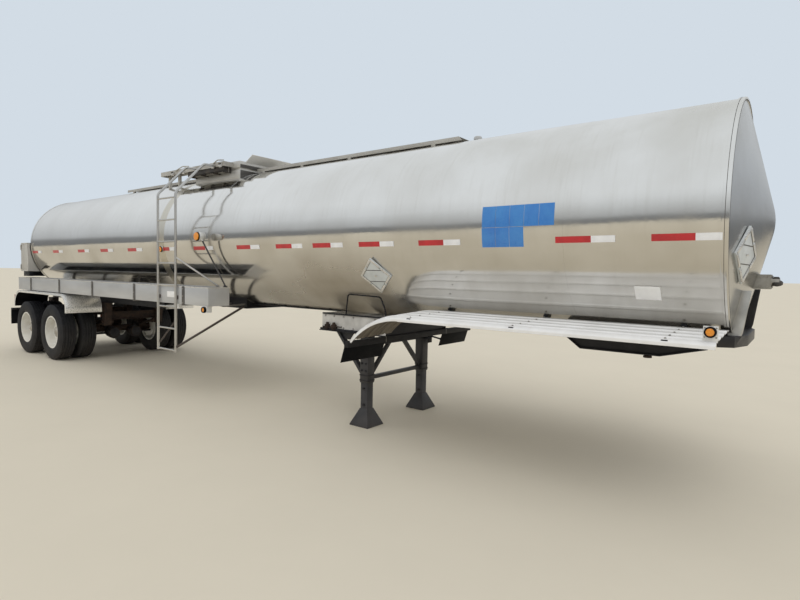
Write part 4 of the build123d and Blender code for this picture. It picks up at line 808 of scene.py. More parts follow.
# The dam's front wall, in the zone, is painted dark: painted shade.
DAM_SHEET = SplitFinish(
    "dam_sheet", Slot.STAINLESS, (0.66, 0.65, 0.62), (0.54, 0.53, 0.50), 0.6, (0.3, 0.46), 3.0, 120.0,
    relief=0.0002, dust=0.05, dust_top=4.0,
    other=(0.11, 0.105, 0.10), other_metallic=0.4, zones=(((0.262, 0.0, 2.9), (0.30, 0.44, 3.205)),),
)
PLACARD = Finish(
    "placard_plate", Slot.GRIP, (0.69, 0.725, 0.735), (0.60, 0.635, 0.64), 0.2, (0.34, 0.5), 10.0, 150.0,
    relief=0.0002, dust=0.06, dust_top=3.0,
)
TRIM = Finish(
    "bright_trim", Slot.STAINLESS, (0.80, 0.79, 0.77), (0.68, 0.67, 0.65), 0.8, (0.22, 0.36), 6.0, 160.0,
    (0.4, 1.0, 1.0), 0.0002, 0.08, 2.4,
)
POLISHED = Finish(
    "polished_fender", Slot.STAINLESS, (0.88, 0.88, 0.87), (0.78, 0.78, 0.765), 0.7, (0.22, 0.34), 2.0, 90.0,
    (1.0, 1.0, 1.0), 0.0002, 0.07, 1.9,
)
# The straps and tray brackets are painted dark to stand in for the shadow gaps along them: painted shade.
DARK_STRAP = Finish(
    "dark_strap", Slot.STAINLESS, (0.17, 0.165, 0.16), (0.11, 0.105, 0.10), 0.5, (0.4, 0.6), 9.0, 150.0,
    relief=0.0003, dust=0.15, dust_top=2.2,
)
DARK_CAST = Finish(
    "dark_casting", Slot.WORN, (0.045, 0.043, 0.042), (0.085, 0.072, 0.06), 0.3, (0.45, 0.65), 12.0, 200.0,
    relief=0.0006, dust=0.12, dust_top=2.4,
)
HUB_PAINT = Finish(
    "hub_paint", Slot.WHEEL, (0.52, 0.50, 0.46), (0.36, 0.33, 0.28), 0.2, (0.35, 0.55), 12.0, 180.0,
    relief=0.0005, dust=0.25, dust_top=1.0,
)
# The second zone paints the saddles pale so that their reflection in the tank reads as the pale ground: a
# painted reflection.
LEG_FRAME = SplitFinish(
    "landing_frame_paint", Slot.BLACK, (0.010, 0.011, 0.014), (0.020, 0.021, 0.024), 0.0, (0.45, 0.65), 6.0,
    140.0, relief=0.0005, dust=0.05, dust_top=1.9, specular=0.2,
    other=(0.60, 0.585, 0.55), other_metallic=0.0,
    zones=(((-9.0, 0.5985, 0.5), (9.0, 0.602, 1.238)), ((-9.0, 0.0, 1.075), (9.0, 0.5980, 1.45))),
)
LEG_PAINT = Finish(
    "landing_leg_paint", Slot.BLACK, (0.024, 0.025, 0.029), (0.042, 0.042, 0.046), 0.0, (0.34, 0.55), 6.0,
    140.0, relief=0.0005, dust=0.06, dust_top=1.4, specular=0.4,
)
PALE_BOLTS = Finish(
    "painted_bolts", Slot.BLACK, (0.36, 0.35, 0.335), (0.24, 0.23, 0.22), 0.0, (0.45, 0.65), 12.0, 200.0,
    relief=0.0003, dust=0.2, dust_top=1.9,
)
# The lamp stands are painted dark below the mast lamps' housings, in the zone: painted shade.
LAMP_STANDS = SplitFinish(
    "lamp_stands", Slot.FENDER, (0.78, 0.78, 0.765), (0.66, 0.66, 0.64), 0.1, (0.3, 0.46), 8.0, 140.0,
    relief=0.0002, dust=0.08, dust_top=2.2,
    other=(0.075, 0.075, 0.078), other_metallic=0.3,
    zones=(((0.2, 0.0, 1.42), (1.2, 2.0, 2.0905)),),
)
STRUTS = SplitFinish(
    "strut_paint", Slot.STAINLESS, (0.66, 0.65, 0.63), (0.54, 0.53, 0.51), 0.9, (0.28, 0.44), 6.0, 160.0,
    relief=0.0002, dust=0.10, dust_top=2.4,
    other=(0.065, 0.05, 0.045), other_metallic=0.1, zones=(((-9.0, 0.0, 0.0), (9.0, 9.0, 1.36)),),
)
# The left gusset keeps the bolster's black while the right one is stainless: its black stands in for the left
# gusset's shaded face, painted shade.
NOSE_STEEL = SplitFinish(
    "nose_steel", Slot.BLACK, (0.010, 0.010, 0.012), (0.022, 0.021, 0.022), 0.1, (0.3, 0.5), 9.0, 150.0,
    relief=0.0009, dust=0.05, dust_top=1.9,
    other=(0.66, 0.65, 0.62), other_metallic=1.0, zones=(((6.0, -9.0, 1.3065), (9.0, 0.0, 9.0)),),
)
COUPLING = Finish(
    "coupling_box_paint", Slot.WORN, (0.36, 0.35, 0.32), (0.25, 0.24, 0.21), 0.2, (0.42, 0.6), 14.0, 200.0,
    relief=0.0004, dust=0.12, dust_top=2.4,
)
# A brownish dark finish that only darkens the front fenders' undersides.
DARK_UNDERSIDE = Finish(
    "fender_dark_underside", Slot.WORN, (0.20, 0.175, 0.14), (0.10, 0.085, 0.068), 0.0, (0.6, 0.85), 6.0, 90.0,
    (0.5, 4.0, 0.5), 0.0010, 0.10, 2.0,
)
ZINC = Finish(
    "zinc_bolts", Slot.STAINLESS, (0.50, 0.49, 0.46), (0.36, 0.34, 0.31), 1.0, (0.3, 0.5), 30.0, 300.0,
    relief=0.0002, dust=0.2, dust_top=2.0,
)
TAPE_RED = PatternFinish(
    "tape_red", Slot.RED, (0.58, 0.014, 0.024), (0.44, 0.010, 0.018), 0.0, (0.28, 0.4), 12.0, 200.0,
    relief=0.0001, dust=0.03, dust_top=3.0, coat=0.4, cell=0.006, depth=0.5,
)
TAPE_WHITE = PatternFinish(
    "tape_white", Slot.FENDER, (0.90, 0.91, 0.92), (0.78, 0.79, 0.81), 0.0, (0.28, 0.4), 12.0, 200.0,
    relief=0.0001, dust=0.03, dust_top=3.0, coat=0.4, cell=0.006, depth=0.5,
)
BLUE_DECAL = Finish(
    "blue_decal", None, (0.035, 0.20, 0.60), (0.05, 0.25, 0.64), 0.0, (0.22, 0.34), 8.0, 160.0,
    relief=0.0001, dust=0.05, dust_top=3.0, coat=0.3,
)
WHITE_LABEL = Finish(
    "white_label", None, (0.93, 0.93, 0.92), (0.86, 0.86, 0.85), 0.0, (0.3, 0.45), 14.0, 200.0,
    relief=0.0001, dust=0.03, dust_top=3.0,
)
AMBER = LensFinish(
    "amber_lens", Slot.AMBER, (1.0, 0.40, 0.035), (0.88, 0.27, 0.015), 0.0, (0.10, 0.2), 20.0, 100.0,
    relief=0.0006, dust=0.05, dust_top=2.0, coat=0.6,
)
RED_LENS = LensFinish(
    "red_lens", Slot.RED, (0.60, 0.015, 0.015), (0.42, 0.01, 0.01), 0.0, (0.12, 0.22), 20.0, 100.0,
    relief=0.0006, dust=0.10, dust_top=2.0, coat=0.6,
)


class Yard:
    """Keeps the frame and hangs finished pieces on it."""

    def __init__(self, frame: dict) -> None:
        """Keep the loaded frame and start the count of pieces."""
        self.frame = frame
        self.kept: dict[str, Piece] = {}
        self.replaced: set[str] = set()

    def keep(
        self,
        pieces: Iterable[Piece] | Piece,
        name: str,
        finish: Finish,
        body: Body = Body.TRAILER,
        replaces: Sequence[str] = (),
    ) -> Piece:
        """Join pieces, name and paint them, and hang them on a body.

        Args:
            pieces: One piece, or several that become one.
            name: The piece's name.
            finish: Its finish.
            body: The body that it moves with.
            replaces: The CAD nodes that it stands for.

        Returns:
            The finished piece.
        """
        piece = pieces if isinstance(pieces, bpy.types.Object) else join(pieces)
        piece.name = name
        piece.data.name = name
        piece.data.materials.clear()
        piece.data.materials.append(finish.material())
        piece.data.polygons.foreach_set("material_index", [0] * len(piece.data.polygons))
        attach(piece, body.value)
        if replaces:
            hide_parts(*replaces)
            self.replaced.update(replaces)
        self.kept[name] = piece
        log.info("%s: %d faces on %s", name, len(piece.data.polygons), body.value)
        return piece

    def paint(self, node: str, finish: Finish) -> None:
        """Give a CAD node that stays its finish."""
        mesh = self.frame["nodes"][node].data
        for index in range(len(mesh.materials)):
            mesh.materials[index] = finish.material()

    def refined(self, node: str, bevel: float = 0.002) -> Piece:
        """Return a merged copy of a CAD node with its edges softened."""
        piece = bpy.data.objects.new(f"{node}_copy", self.frame["nodes"][node].data.copy())
        bpy.context.scene.collection.objects.link(piece)
        activate(piece)
        bpy.ops.mesh.customdata_custom_splitnormals_clear()
        with editing(piece):
            bpy.ops.mesh.remove_doubles(threshold=0.00001)
            bpy.ops.mesh.dissolve_limited(angle_limit=radians(0.4))
        return soften(piece, bevel)


@dataclass
class Tank:
    """The insulated tank: jacket sheets, heads, bands, tape and blank signs."""

    yard: Yard
    rim_x: float = RIM_X
    tail_x: float = TAIL_X
    axis_z: float = TANK_Z
    radius: float = JACKET_RADIUS
    head_radius: float = HEAD_RADIUS
    lap: float = 0.0012
    station_spacing: float = 0.14
    wave: float = 0.0007
    # share, pace along, times round and lag of each wave in the sheets
    waves: tuple = ((1.0, 2.1, 3, 0.0), (0.6, 4.7, -5, 1.3), (0.35, 9.3, 8, 0.0))
    calm_ends: float = 0.2
    skin: float = 0.0012
    seams: tuple[float, ...] = (1.11, 2.28, 3.47, 4.65, 5.83, 6.655, 7.97, 9.17, 10.35, 11.5)
    tape_ends: tuple[float, ...] = (
        0.465, 1.170, 2.501, 3.257, 3.942, 4.569, 5.331, 6.306, 7.214, 8.189, 9.152, 10.053, 11.184, 12.220,
    )
    tape_height: float = 0.050
    tape_z: float = 2.0046
    red_length: float = 0.279
    white_length: float = 0.178

    def build(self) -> None:
        """Build the tank's pieces."""
        self.jacket()
        self.heads()
        self.bands()
        self.tape()
        self.signs()

    def jacket(self) -> None:
        """Lay the jacket's lapped sheets with shallow waves in them."""
        stations: list[tuple[float, float]] = []
        edges = [0.0, *self.seams, self.rim_x - self.tail_x]
        for index, (front, rear) in enumerate(zip(edges, edges[1:])):
            lift = self.lap if index % 2 else 0.0
            count = max(2, round((rear - front) / self.station_spacing))
            for step in range(count + 1):
                reach = front + (rear - front) * step / count
                reach += 0.0006 if step == 0 and index else 0.0
                stations.append((self.radius + lift, self.rim_x - reach))
        piece = lathe(stations, (0, 0, self.axis_z), FORWARD, 192)
        peak = sum(wave[0] for wave in self.waves)
        for vertex in piece.data.vertices:
            x, y, z = vertex.co.x, vertex.co.y, vertex.co.z - self.axis_z
            turn = atan2(z, y)
            swell = sum(share * sin(pace * x + times * turn + lag) for share, pace, times, lag in self.waves)
            edge = min(1.0, (self.rim_x - x) / self.calm_ends, (x - self.tail_x) / self.calm_ends)
            scale = 1 + self.wave * (swell - peak) * max(0.0, edge) / self.radius
            vertex.co.y, vertex.co.z = y * scale, self.axis_z + z * scale
        soften(piece, 0)
        self.yard.keep(piece, "jacket_sheets", JACKET, replaces=("tank_jacket",))

    def heads(self) -> None:
        """Turn the front cone and the dished rear head."""
        turn, tip = radians(CONE_TURN), 0.110
        reach = (self.head_radius - tip) * tan(turn)
        ball = tip / sin(turn)
        centre = reach - ball * cos(turn)
        rounds = [(ball * sin(turn * t / 4), centre + ball * cos(turn * t / 4)) for t in range(5)]
        slope = [(self.head_radius, -0.02), (self.head_radius, 0.0)]
        slope += [(tip + (self.head_radius - tip) * t / 12, reach * (1 - t / 12)) for t in range(11, 0, -1)]
        front = lathe(slope + rounds[::-1], (self.rim_x, 0, self.axis_z), FORWARD, 160)
        self.yard.keep(soften(front, 0), "front_cone", HEAD_SHEET, replaces=("front_head",))
        dish, knuckle = 2.6, 0.1
        inner = self.head_radius - knuckle
        back = sqrt((dish - knuckle) ** 2 - inner**2)
        open_turn = atan2(inner, back)
        profile = [(self.head_radius, -0.02), (self.head_radius, 0.0)]
        for step in range(1, 7):
            angle = pi / 2 - (pi / 2 - open_turn) * step / 6
            profile.append((inner + knuckle * sin(angle), knuckle * cos(angle)))
        for step in range(11, -1, -1):
            angle = open_turn * step / 12
            profile.append((dish * sin(angle), dish * cos(angle) - back))
        rear = lathe(profile, (self.tail_x, 0, self.axis_z), BACKWARD, 160)
        self.yard.keep(soften(rear, 0), "rear_dish", HEAD_SHEET, replaces=("rear_head",))

    def bands(self) -> None:
        """Roll the bands that close the jacket over each head, with a bead at their edge."""
        profile = (
            (0.951, -0.040), (0.9545, -0.0395), (0.9578, -0.034), (0.9578, -0.006), (0.9578, 0.002),
            (0.9565, 0.0065), (0.953, 0.008), (0.940, 0.008), (0.9362, 0.006), (0.9362, -0.01),
        )
        pieces = [
            turned(profile, (x, 0, self.axis_z), (way, 0, 0), 160)
            for x, way in ((self.rim_x, 1), (self.tail_x, -1))
        ]
        self.yard.keep(pieces, "rolled_bands", JACKET, replaces=("rim_bands",))
        behind = ((0.9560, -0.0200), (0.9588, -0.0197), (0.9588, -0.0167), (0.9560, -0.0164))
        ahead = ((0.9350, 0.0060), (0.9350, 0.0086), (0.9385, 0.0090), (0.9400, 0.0076), (0.9400, 0.0060))
        centre = (self.rim_x, 0, self.axis_z)
        seams = [turned(profile, centre, FORWARD, 160, True) for profile in (behind, ahead)]
        self.yard.keep(seams, "band_sealant", DARK_CAST)

    def skin_patch(self, front: float, rear: float, low_z: float, high_z: float, thickness: float) -> Piece:
        """Return a thin patch that follows the right side of the jacket.

        Args:
            front: The patch's front edge behind the front rim.
            rear: Its rear edge behind the front rim.
            low_z: Its lower edge's height.
            high_z: Its upper edge's height.
            thickness: How thick the patch is.

        Returns:
            The patch as a closed shell.
        """
        first, last = (asin((z - self.axis_z) / self.radius) for z in (low_z, high_z))
        steps = max(4, round((last - first) / 0.012))
        bottom = self.radius + self.lap - 0.0006
        arc = []
        for radius, order in ((bottom, range(steps + 1)), (bottom + thickness, range(steps, -1, -1))):
            for step in order:
                turn = first + (last - first) * step / steps
                arc.append((self.rim_x - front, -radius * cos(turn), self.axis_z + radius * sin(turn)))
        patch = outline(arc, filled=True)
        with editing(patch):
            bpy.ops.mesh.extrude_region_move(TRANSFORM_OT_translate={"value": (front - rear, 0, 0)})
            bpy.ops.mesh.select_all(action="SELECT")
            bpy.ops.mesh.normals_make_consistent(inside=False)
        return soften(patch, 0)

    def tape(self) -> None:
        """Lay the red and white tape along both sides."""
        red, white = [], []
        low_z, high_z = self.tape_z - self.tape_height / 2, self.tape_z + self.tape_height / 2
        for rear in self.tape_ends:
            seam = rear - self.red_length
            red.append(self.skin_patch(seam, rear, low_z, high_z, self.skin))
            front = max(seam - self.white_length, 0.042)
            white.append(self.skin_patch(front, seam, low_z, high_z, self.skin))
        white.append(self.skin_patch(0.027, 0.0425, low_z, high_z, 0.0086))
        self.yard.keep(mirrored(red), "tape_red_strips", TAPE_RED)
        self.yard.keep(mirrored(white), "tape_white_strips", TAPE_WHITE)

    def signs(self) -> None:
        """Stick on the blank blue squares and the blank white label."""
        blue = []
        for count, front, low_z, high_z in ((5, 1.18, 2.122, 2.300), (3, 1.44, 1.955, 2.119)):
            width = 0.129
            for index in range(count):
                start = front + index * width
                blue.append(self.skin_patch(start, start + width - 0.003, low_z, high_z, self.skin))
        self.yard.keep(blue, "blue_squares", BLUE_DECAL)
        label = self.skin_patch(0.42, 0.60, 1.555, 1.656, self.skin)
        self.yard.keep(label, "white_jacket_label", WHITE_LABEL)


@dataclass
class Tyres:
    """Twin tyres with ribbed tread and moulded side walls."""

    yard: Yard
    radius: float = 0.510
    width: float = 0.279
    bead: float = 0.285
    tread: float = 0.222
    centres: tuple[float, float] = (1.0795, 0.7365)
    groove_depth: float = 0.011
    grooves: tuple[float, ...] = (0.30, 0.10, -0.10, -0.30)
    groove_width: float = 0.009
    steps: int = 120
    crown: float = 0.004
    # rise above the bead and share of the half width, up the side wall
    wall: tuple = (
        (0.0, 0.77), (0.012, 0.785), (0.018, 0.86), (0.030, 0.90), (0.050, 0.950), (0.054, 0.968),
        (0.060, 0.968), (0.064, 0.965), (0.090, 0.992), (0.115, 1.000), (0.140, 0.985), (0.144, 0.990),
        (0.150, 0.980), (0.172, 0.945), (0.190, 0.90),
    )

    def profile(self) -> list[tuple[float, float]]:
        """Return the tyre's section as radius and offset pairs, from bead to bead."""
        half = self.width / 2
        wall = [(self.bead + rise, half * share) for rise, share in self.wall]
        wall += [
            (self.radius - 0.024, self.tread * 0.520), (self.radius - 0.012, self.tread * 0.500),
            (self.radius - 0.005, self.tread * 0.480),
        ]
        ground = []
        for place in self.grooves:
            for shift, depth in ((0.5, 0.0), (0.34, 1.0), (-0.34, 1.0), (-0.5, 0.0)):
                offset = place * self.tread + shift * self.groove_width
                rise = self.radius - self.crown * (offset / (self.tread / 2)) ** 2
                ground.append((rise - depth * self.groove_depth, offset))
        far = [(r, -o) for r, o in reversed(wall)]
        return wall + ground + far

    def build(self) -> None:
        """Build the twin tyres of each axle end."""
        tyre = lathe(self.profile(), (0, 0, 0), LEFT, self.steps)
        shoulder = self.tread * 0.30 + self.groove_width / 2
        inner_rib = self.tread * 0.10 - self.groove_width / 2
        top = self.radius - 0.008

        def notched(face: bpy.types.MeshPolygon) -> bool:
            """Say whether a tread face is pressed in to make a notch."""
            reach = sqrt(face.center.x**2 + face.center.z**2)
            index = int((atan2(face.center.z, face.center.x) + pi) / (2 * pi) * self.steps)
            edge = abs(face.center.y)
            outer = shoulder < edge < self.tread * 0.49 and index % 3 == 0
            middle = edge < inner_rib and index % 6 == 0
            return reach > top and (outer or middle)

        with editing(tyre, Pick.FACE, notched):
            bpy.ops.mesh.inset(thickness=0.0035, depth=-0.006, use_individual=True)
        soften(tyre, 0)
        for body, axle_x, side in CORNERS:
            places = [Matrix.Translation((axle_x, side * y, self.radius)) for y in self.centres]
            node = body.value.replace("_wheels", "")
            self.yard.keep(
                copy_to(tyre, *places), f"twin_tyres_{node}", RUBBER, body, (f"tyres_{node}",)
            )
        discard(tyre)


@dataclass
class Suspension:
    """Leaf packs, U-bolts, hanger bolts, cam shafts and brake chamber clamps."""

    yard: Yard
    axle_places: tuple[float, ...] = AXLE_PLACES
    axle_z: float = WHEEL_Z
    spring_y: float = 0.490
    spring_width: float = 0.076
    half_span: float = 0.5610
    low_z: float = 0.5955
    stack: float = 0.056
    arch: float = 0.036
    leaf: float = 0.0112
    band_x: float = 0.33
    reaches: tuple[float, ...] = (1.0, 1.0, 0.80, 0.62, 0.45)
    clamp_x: float = 0.050
    hanger_places: tuple[float, ...] = (-3.731, -4.976, -6.221)

    def build(self) -> None:
        """Build what holds the axles."""
        self.leaves()
        self.clamps()
        self.hanger_bolts()
        self.brakes()

    def corners(self) -> list[Matrix]:
        """Return the moves from the origin to each spring's middle."""
        return [
            Matrix.Translation((x, side * self.spring_y, 0))
            for x in self.axle_places
            for side in (1, -1)
        ]

    def leaves(self) -> None:
        """Lay each spring's arched leaves on one another."""
        leaves = []
        half_width = self.spring_width / 2
        for index, reach in enumerate(self.reaches):
            length = reach * self.half_span
            top, bottom = [], []
            for step in range(13):
                x = length * (step / 6 - 1)
                z = self.low_z + self.stack - self.leaf * index + self.arch * (x / self.half_span) ** 2
                top.append((x, -half_width, z))
                bottom.append((x, -half_width, z - self.leaf + 0.0003))
            leaves.append(sheet_metal(top + bottom[::-1], (0, self.spring_width, 0), 0.0016))
        reach, low, high = half_width + 0.004, self.low_z + 0.012, self.low_z + 0.074
        for x in (self.band_x, -self.band_x):
            loop = [(x, -reach, low), (x, -reach, high), (x, reach, high), (x, reach, low)]
            for start, end in zip(loop, loop[1:]):
                leaves.append(bar(start, end, 0.032, 0.007, 0.001))
        pack = join(leaves)
        self.yard.keep(copy_to(pack, *self.corners()), "spring_leaves", RUSTED, replaces=("leaf_springs",))
        discard(pack)

    def clamps(self) -> None:
        """Clamp each axle to its springs with two U-bolts between plates."""
        half = self.spring_width / 2 + 0.009
        top, foot = self.low_z + self.stack, 0.4285
        pieces = [
            block((-0.075, -0.056, top), (0.075, 0.056, top + 0.013), 0.002),
            block((-0.080, -0.062, foot), (0.080, 0.062, 0.4466), 0.002),
        ]
        nuts = []
        for x in (-self.clamp_x, self.clamp_x):
            legs = [(x, -half, 0.405), (x, -half, top + 0.022), (x, half, top + 0.022), (x, half, 0.405)]
            pieces.append(tube(legs, 0.009, 0.02, 12))
            nuts += [((x, -half, foot), DOWN), ((x, half, foot), DOWN)]
        pieces.append(bolts(nuts, 0.013))
        clamp = join(pieces)
        self.yard.keep(copy_to(clamp, *self.corners()), "axle_clamps", RUSTED)
        discard(clamp)

    def hanger_bolts(self) -> None:
        """Bolt the hangers and the radius rods."""
        places = []
        for x in self.hanger_places:
            for y, way in ((0.550, 1), (0.430, -1)):
                for along, z in ((-0.055, 0.985), (0.055, 0.985), (0.0, 0.925), (0.0, 0.86)):
                    places.append(((x + along, y, z), (0, way, 0)))
        large = [((x, 0.550, 0.715), LEFT) for x in self.hanger_places]
        self.yard.keep(mirrored((bolts(places, 0.011), bolts(large, 0.021))), "hanger_bolts", RUSTED)

    def brakes(self) -> None:
        """Clamp the brake chambers and run the cam shafts out to the drums."""
        pieces = []
        for x in self.axle_places:
            centre = (x + 0.220, 0.210, self.axle_z - 0.055)
            ring = ((0.0975, -0.013), (0.1075, -0.013), (0.1105, 0.0), (0.1075, 0.013), (0.0975, 0.013))
            for along in (-0.012, 0.058):
                band = lathe([(r, a + along) for r, a in ring], centre, FORWARD, 40, True)
                pieces.append(soften(band, 0))
                pieces.append(block(
                    (centre[0] + along - 0.012, 0.198, centre[2] - 0.122),
                    (centre[0] + along + 0.012, 0.222, centre[2] - 0.1),
                ))
            end_cap = (
                (0.0, 0.118), (0.03, 0.118), (0.036, 0.112), (0.074, 0.106), (0.092, 0.0995), (0.0, 0.0995)
            )
            pieces.append(turned(end_cap, centre, FORWARD, 32))
            shaft_z = self.axle_z - 0.075
            pieces.append(rod((x + 0.1, 0.262, shaft_z), (x + 0.1, 0.61, shaft_z), 0.021))
            lever_x, lever_y, pin_z = x + 0.1, 0.285, shaft_z + 0.13
            foot, head = (lever_x, lever_y, shaft_z - 0.02), (lever_x, lever_y, shaft_z + 0.15)
            pieces.append(bar(foot, head, 0.045, 0.024, 0.004))
            pieces.append(rod((x + 0.07, lever_y, pin_z), (x + 0.13, lever_y, pin_z), 0.012))
        self.yard.keep(mirrored(pieces), "brake_clamps_and_cams", BLACK)


@dataclass
class WheelTrim:
    """Nuts, hub caps and valve stems of the outer wheels, turning with them."""

    yard: Yard
    centre_z: float = WHEEL_Z
    disc_y: float = 0.9262
    hub_end_y: float = 1.108
    nut_circle: float = 0.1429
    nuts: int = 10

    def build(self) -> None:
        """Build the trim at the origin and copy it to each corner."""
        nuts = bolts(self.ring(self.nuts, self.nut_circle, self.disc_y), 0.0165)
        studs = [
            rod((x, self.disc_y, z), (x, self.disc_y + 0.034, z), 0.0098, 10)
            for (x, _, z), _ in self.ring(self.nuts, self.nut_circle, self.disc_y)
        ]
        nut_set = join([nuts, *studs])
        cap_profile = (
            (0.0, 0.030), (0.030, 0.030), (0.034, 0.027), (0.036, 0.020), (0.062, 0.016), (0.070, 0.010),
            (0.072, 0.006), (0.094, 0.005), (0.096, 0.003), (0.096, -0.003), (0.0, -0.003),
        )
        cap = turned(cap_profile, (0, self.hub_end_y, 0), LEFT, 48)
        collar_profile = (
            (0.1075, -0.150), (0.124, -0.150), (0.124, -0.138), (0.1095, -0.130), (0.1095, -0.004),
            (0.1075, 0.0),
        )
        collar = turned(collar_profile, (0, self.hub_end_y, 0), LEFT, 48, True)
        screws = bolts(self.ring(6, 0.083, self.hub_end_y + 0.005), 0.007)
        stem = tube(((0.178, 0.935, 0.06), (0.198, 0.985, 0.067), (0.226, 1.035, 0.076)), 0.0052, 0.02)
        stem_cap = rod((0.222, 1.028, 0.0747), (0.231, 1.044, 0.0777), 0.0075, 12)
        sets = (
            ("wheel_nuts", nut_set, ZINC), ("hub_cap", join([cap, collar, screws]), HUB_PAINT),
            ("valve_stem", join([stem, stem_cap]), ZINC),
        )
        for body, axle_x, side in CORNERS:
            place = Matrix.Translation((axle_x, 0, self.centre_z)) @ Matrix.Scale(side, 4, LEFT)
            for name, master, finish in sets:
                corner = body.value.replace("_wheels", "")
                self.yard.keep(copy_to(master, place), f"{name}_{corner}", finish, body)
        discard(*(master for _, master, _ in sets))

    def ring(self, count: int, radius: float, y: float) -> list[tuple[Point, Point]]:
        """Return bolt places round the wheel's axis, facing outward."""
        turns = [2 * pi * (index + 0.5) / count for index in range(count)]
        return [((radius * cos(turn), y, radius * sin(turn)), LEFT) for turn in turns]


@dataclass
class Trays:
    """Rolled lips, straps' bolts, mats and blank labels of the hose trays."""

    yard: Yard
    front_x: float = 0.639
    rear_x: float = -6.056
    inner_y: float = 0.865
    outer_y: float = 1.175
    low_z: float = 1.248
    high_z: float = 1.488
    wall: float = 0.004
    lip: float = 0.010
    strap_places: tuple[float, ...] = (0.064, -1.270, -2.681, -4.021, -5.388)
    strap_half: float = 0.026
    strap_thickness: float = 0.006
    strap_bolt_heights: tuple[float, ...] = (1.268, 1.36, 1.455)
    mats: int = 5

    def build(self) -> None:
        """Build the trays' fittings."""
        wall, lip = self.wall, self.lip
        low, high = self.high_z - 0.012, self.high_z + 0.003
        rear, front = self.rear_x - wall, self.front_x + wall
        lips = []
        for y in (self.inner_y - wall, self.outer_y + wall - lip):
            lips.append(block((rear, y, low), (front, y + lip, high), 0.003))
        for x in (rear, front - lip):
            lips.append(block((x, self.inner_y, low), (x + lip, self.outer_y, high), 0.003))
        self.yard.keep(mirrored(lips), "tray_rolled_lips", TRIM)
        straps, heads = [], []
        face = self.outer_y + wall
        for x in self.strap_places:
            foot = (x - self.strap_half, face, self.low_z - 0.016)
            straps.append(block(foot, (x + self.strap_half, face + self.strap_thickness, low), 0.0015))
            heads += [((x, face + self.strap_thickness, z), LEFT) for z in self.strap_bolt_heights]
        self.yard.keep(mirrored(straps), "tray_straps", DARK_STRAP)
        self.yard.keep(mirrored([bolts(heads, 0.006)]), "tray_strap_bolts", ZINC)
        mats = []
        start, pitch = self.rear_x + 0.02, (self.front_x - self.rear_x - 0.04) / self.mats
        floor = self.low_z + wall
        for index in range(self.mats):
            near, far = start + pitch * index + 0.004, start + pitch * (index + 1) - 0.004
            corner = (far, self.outer_y - 0.012, floor + 0.010)
            mats.append(block((near, self.inner_y + 0.012, floor), corner, 0.003))
        self.yard.keep(mirrored(mats), "tray_mats", FLAP)
        near, far, low_z = self.outer_y, self.outer_y + 0.0015, self.low_z
        labels = [
            block((-0.349, near, 1.331), (-0.152, far, 1.410), 0.0004),
            block((-0.130, near, 1.334), (-0.112, far, 1.405), 0.0004),
            block((-0.226, near - 0.090, low_z - 0.070), (-0.100, near - 0.030, low_z), 0.004),
        ]
        right = [copy_to(piece, FLIP)[0] for piece in labels]
        discard(*labels)
        self.yard.keep(right, "tray_blank_labels", WHITE_LABEL)


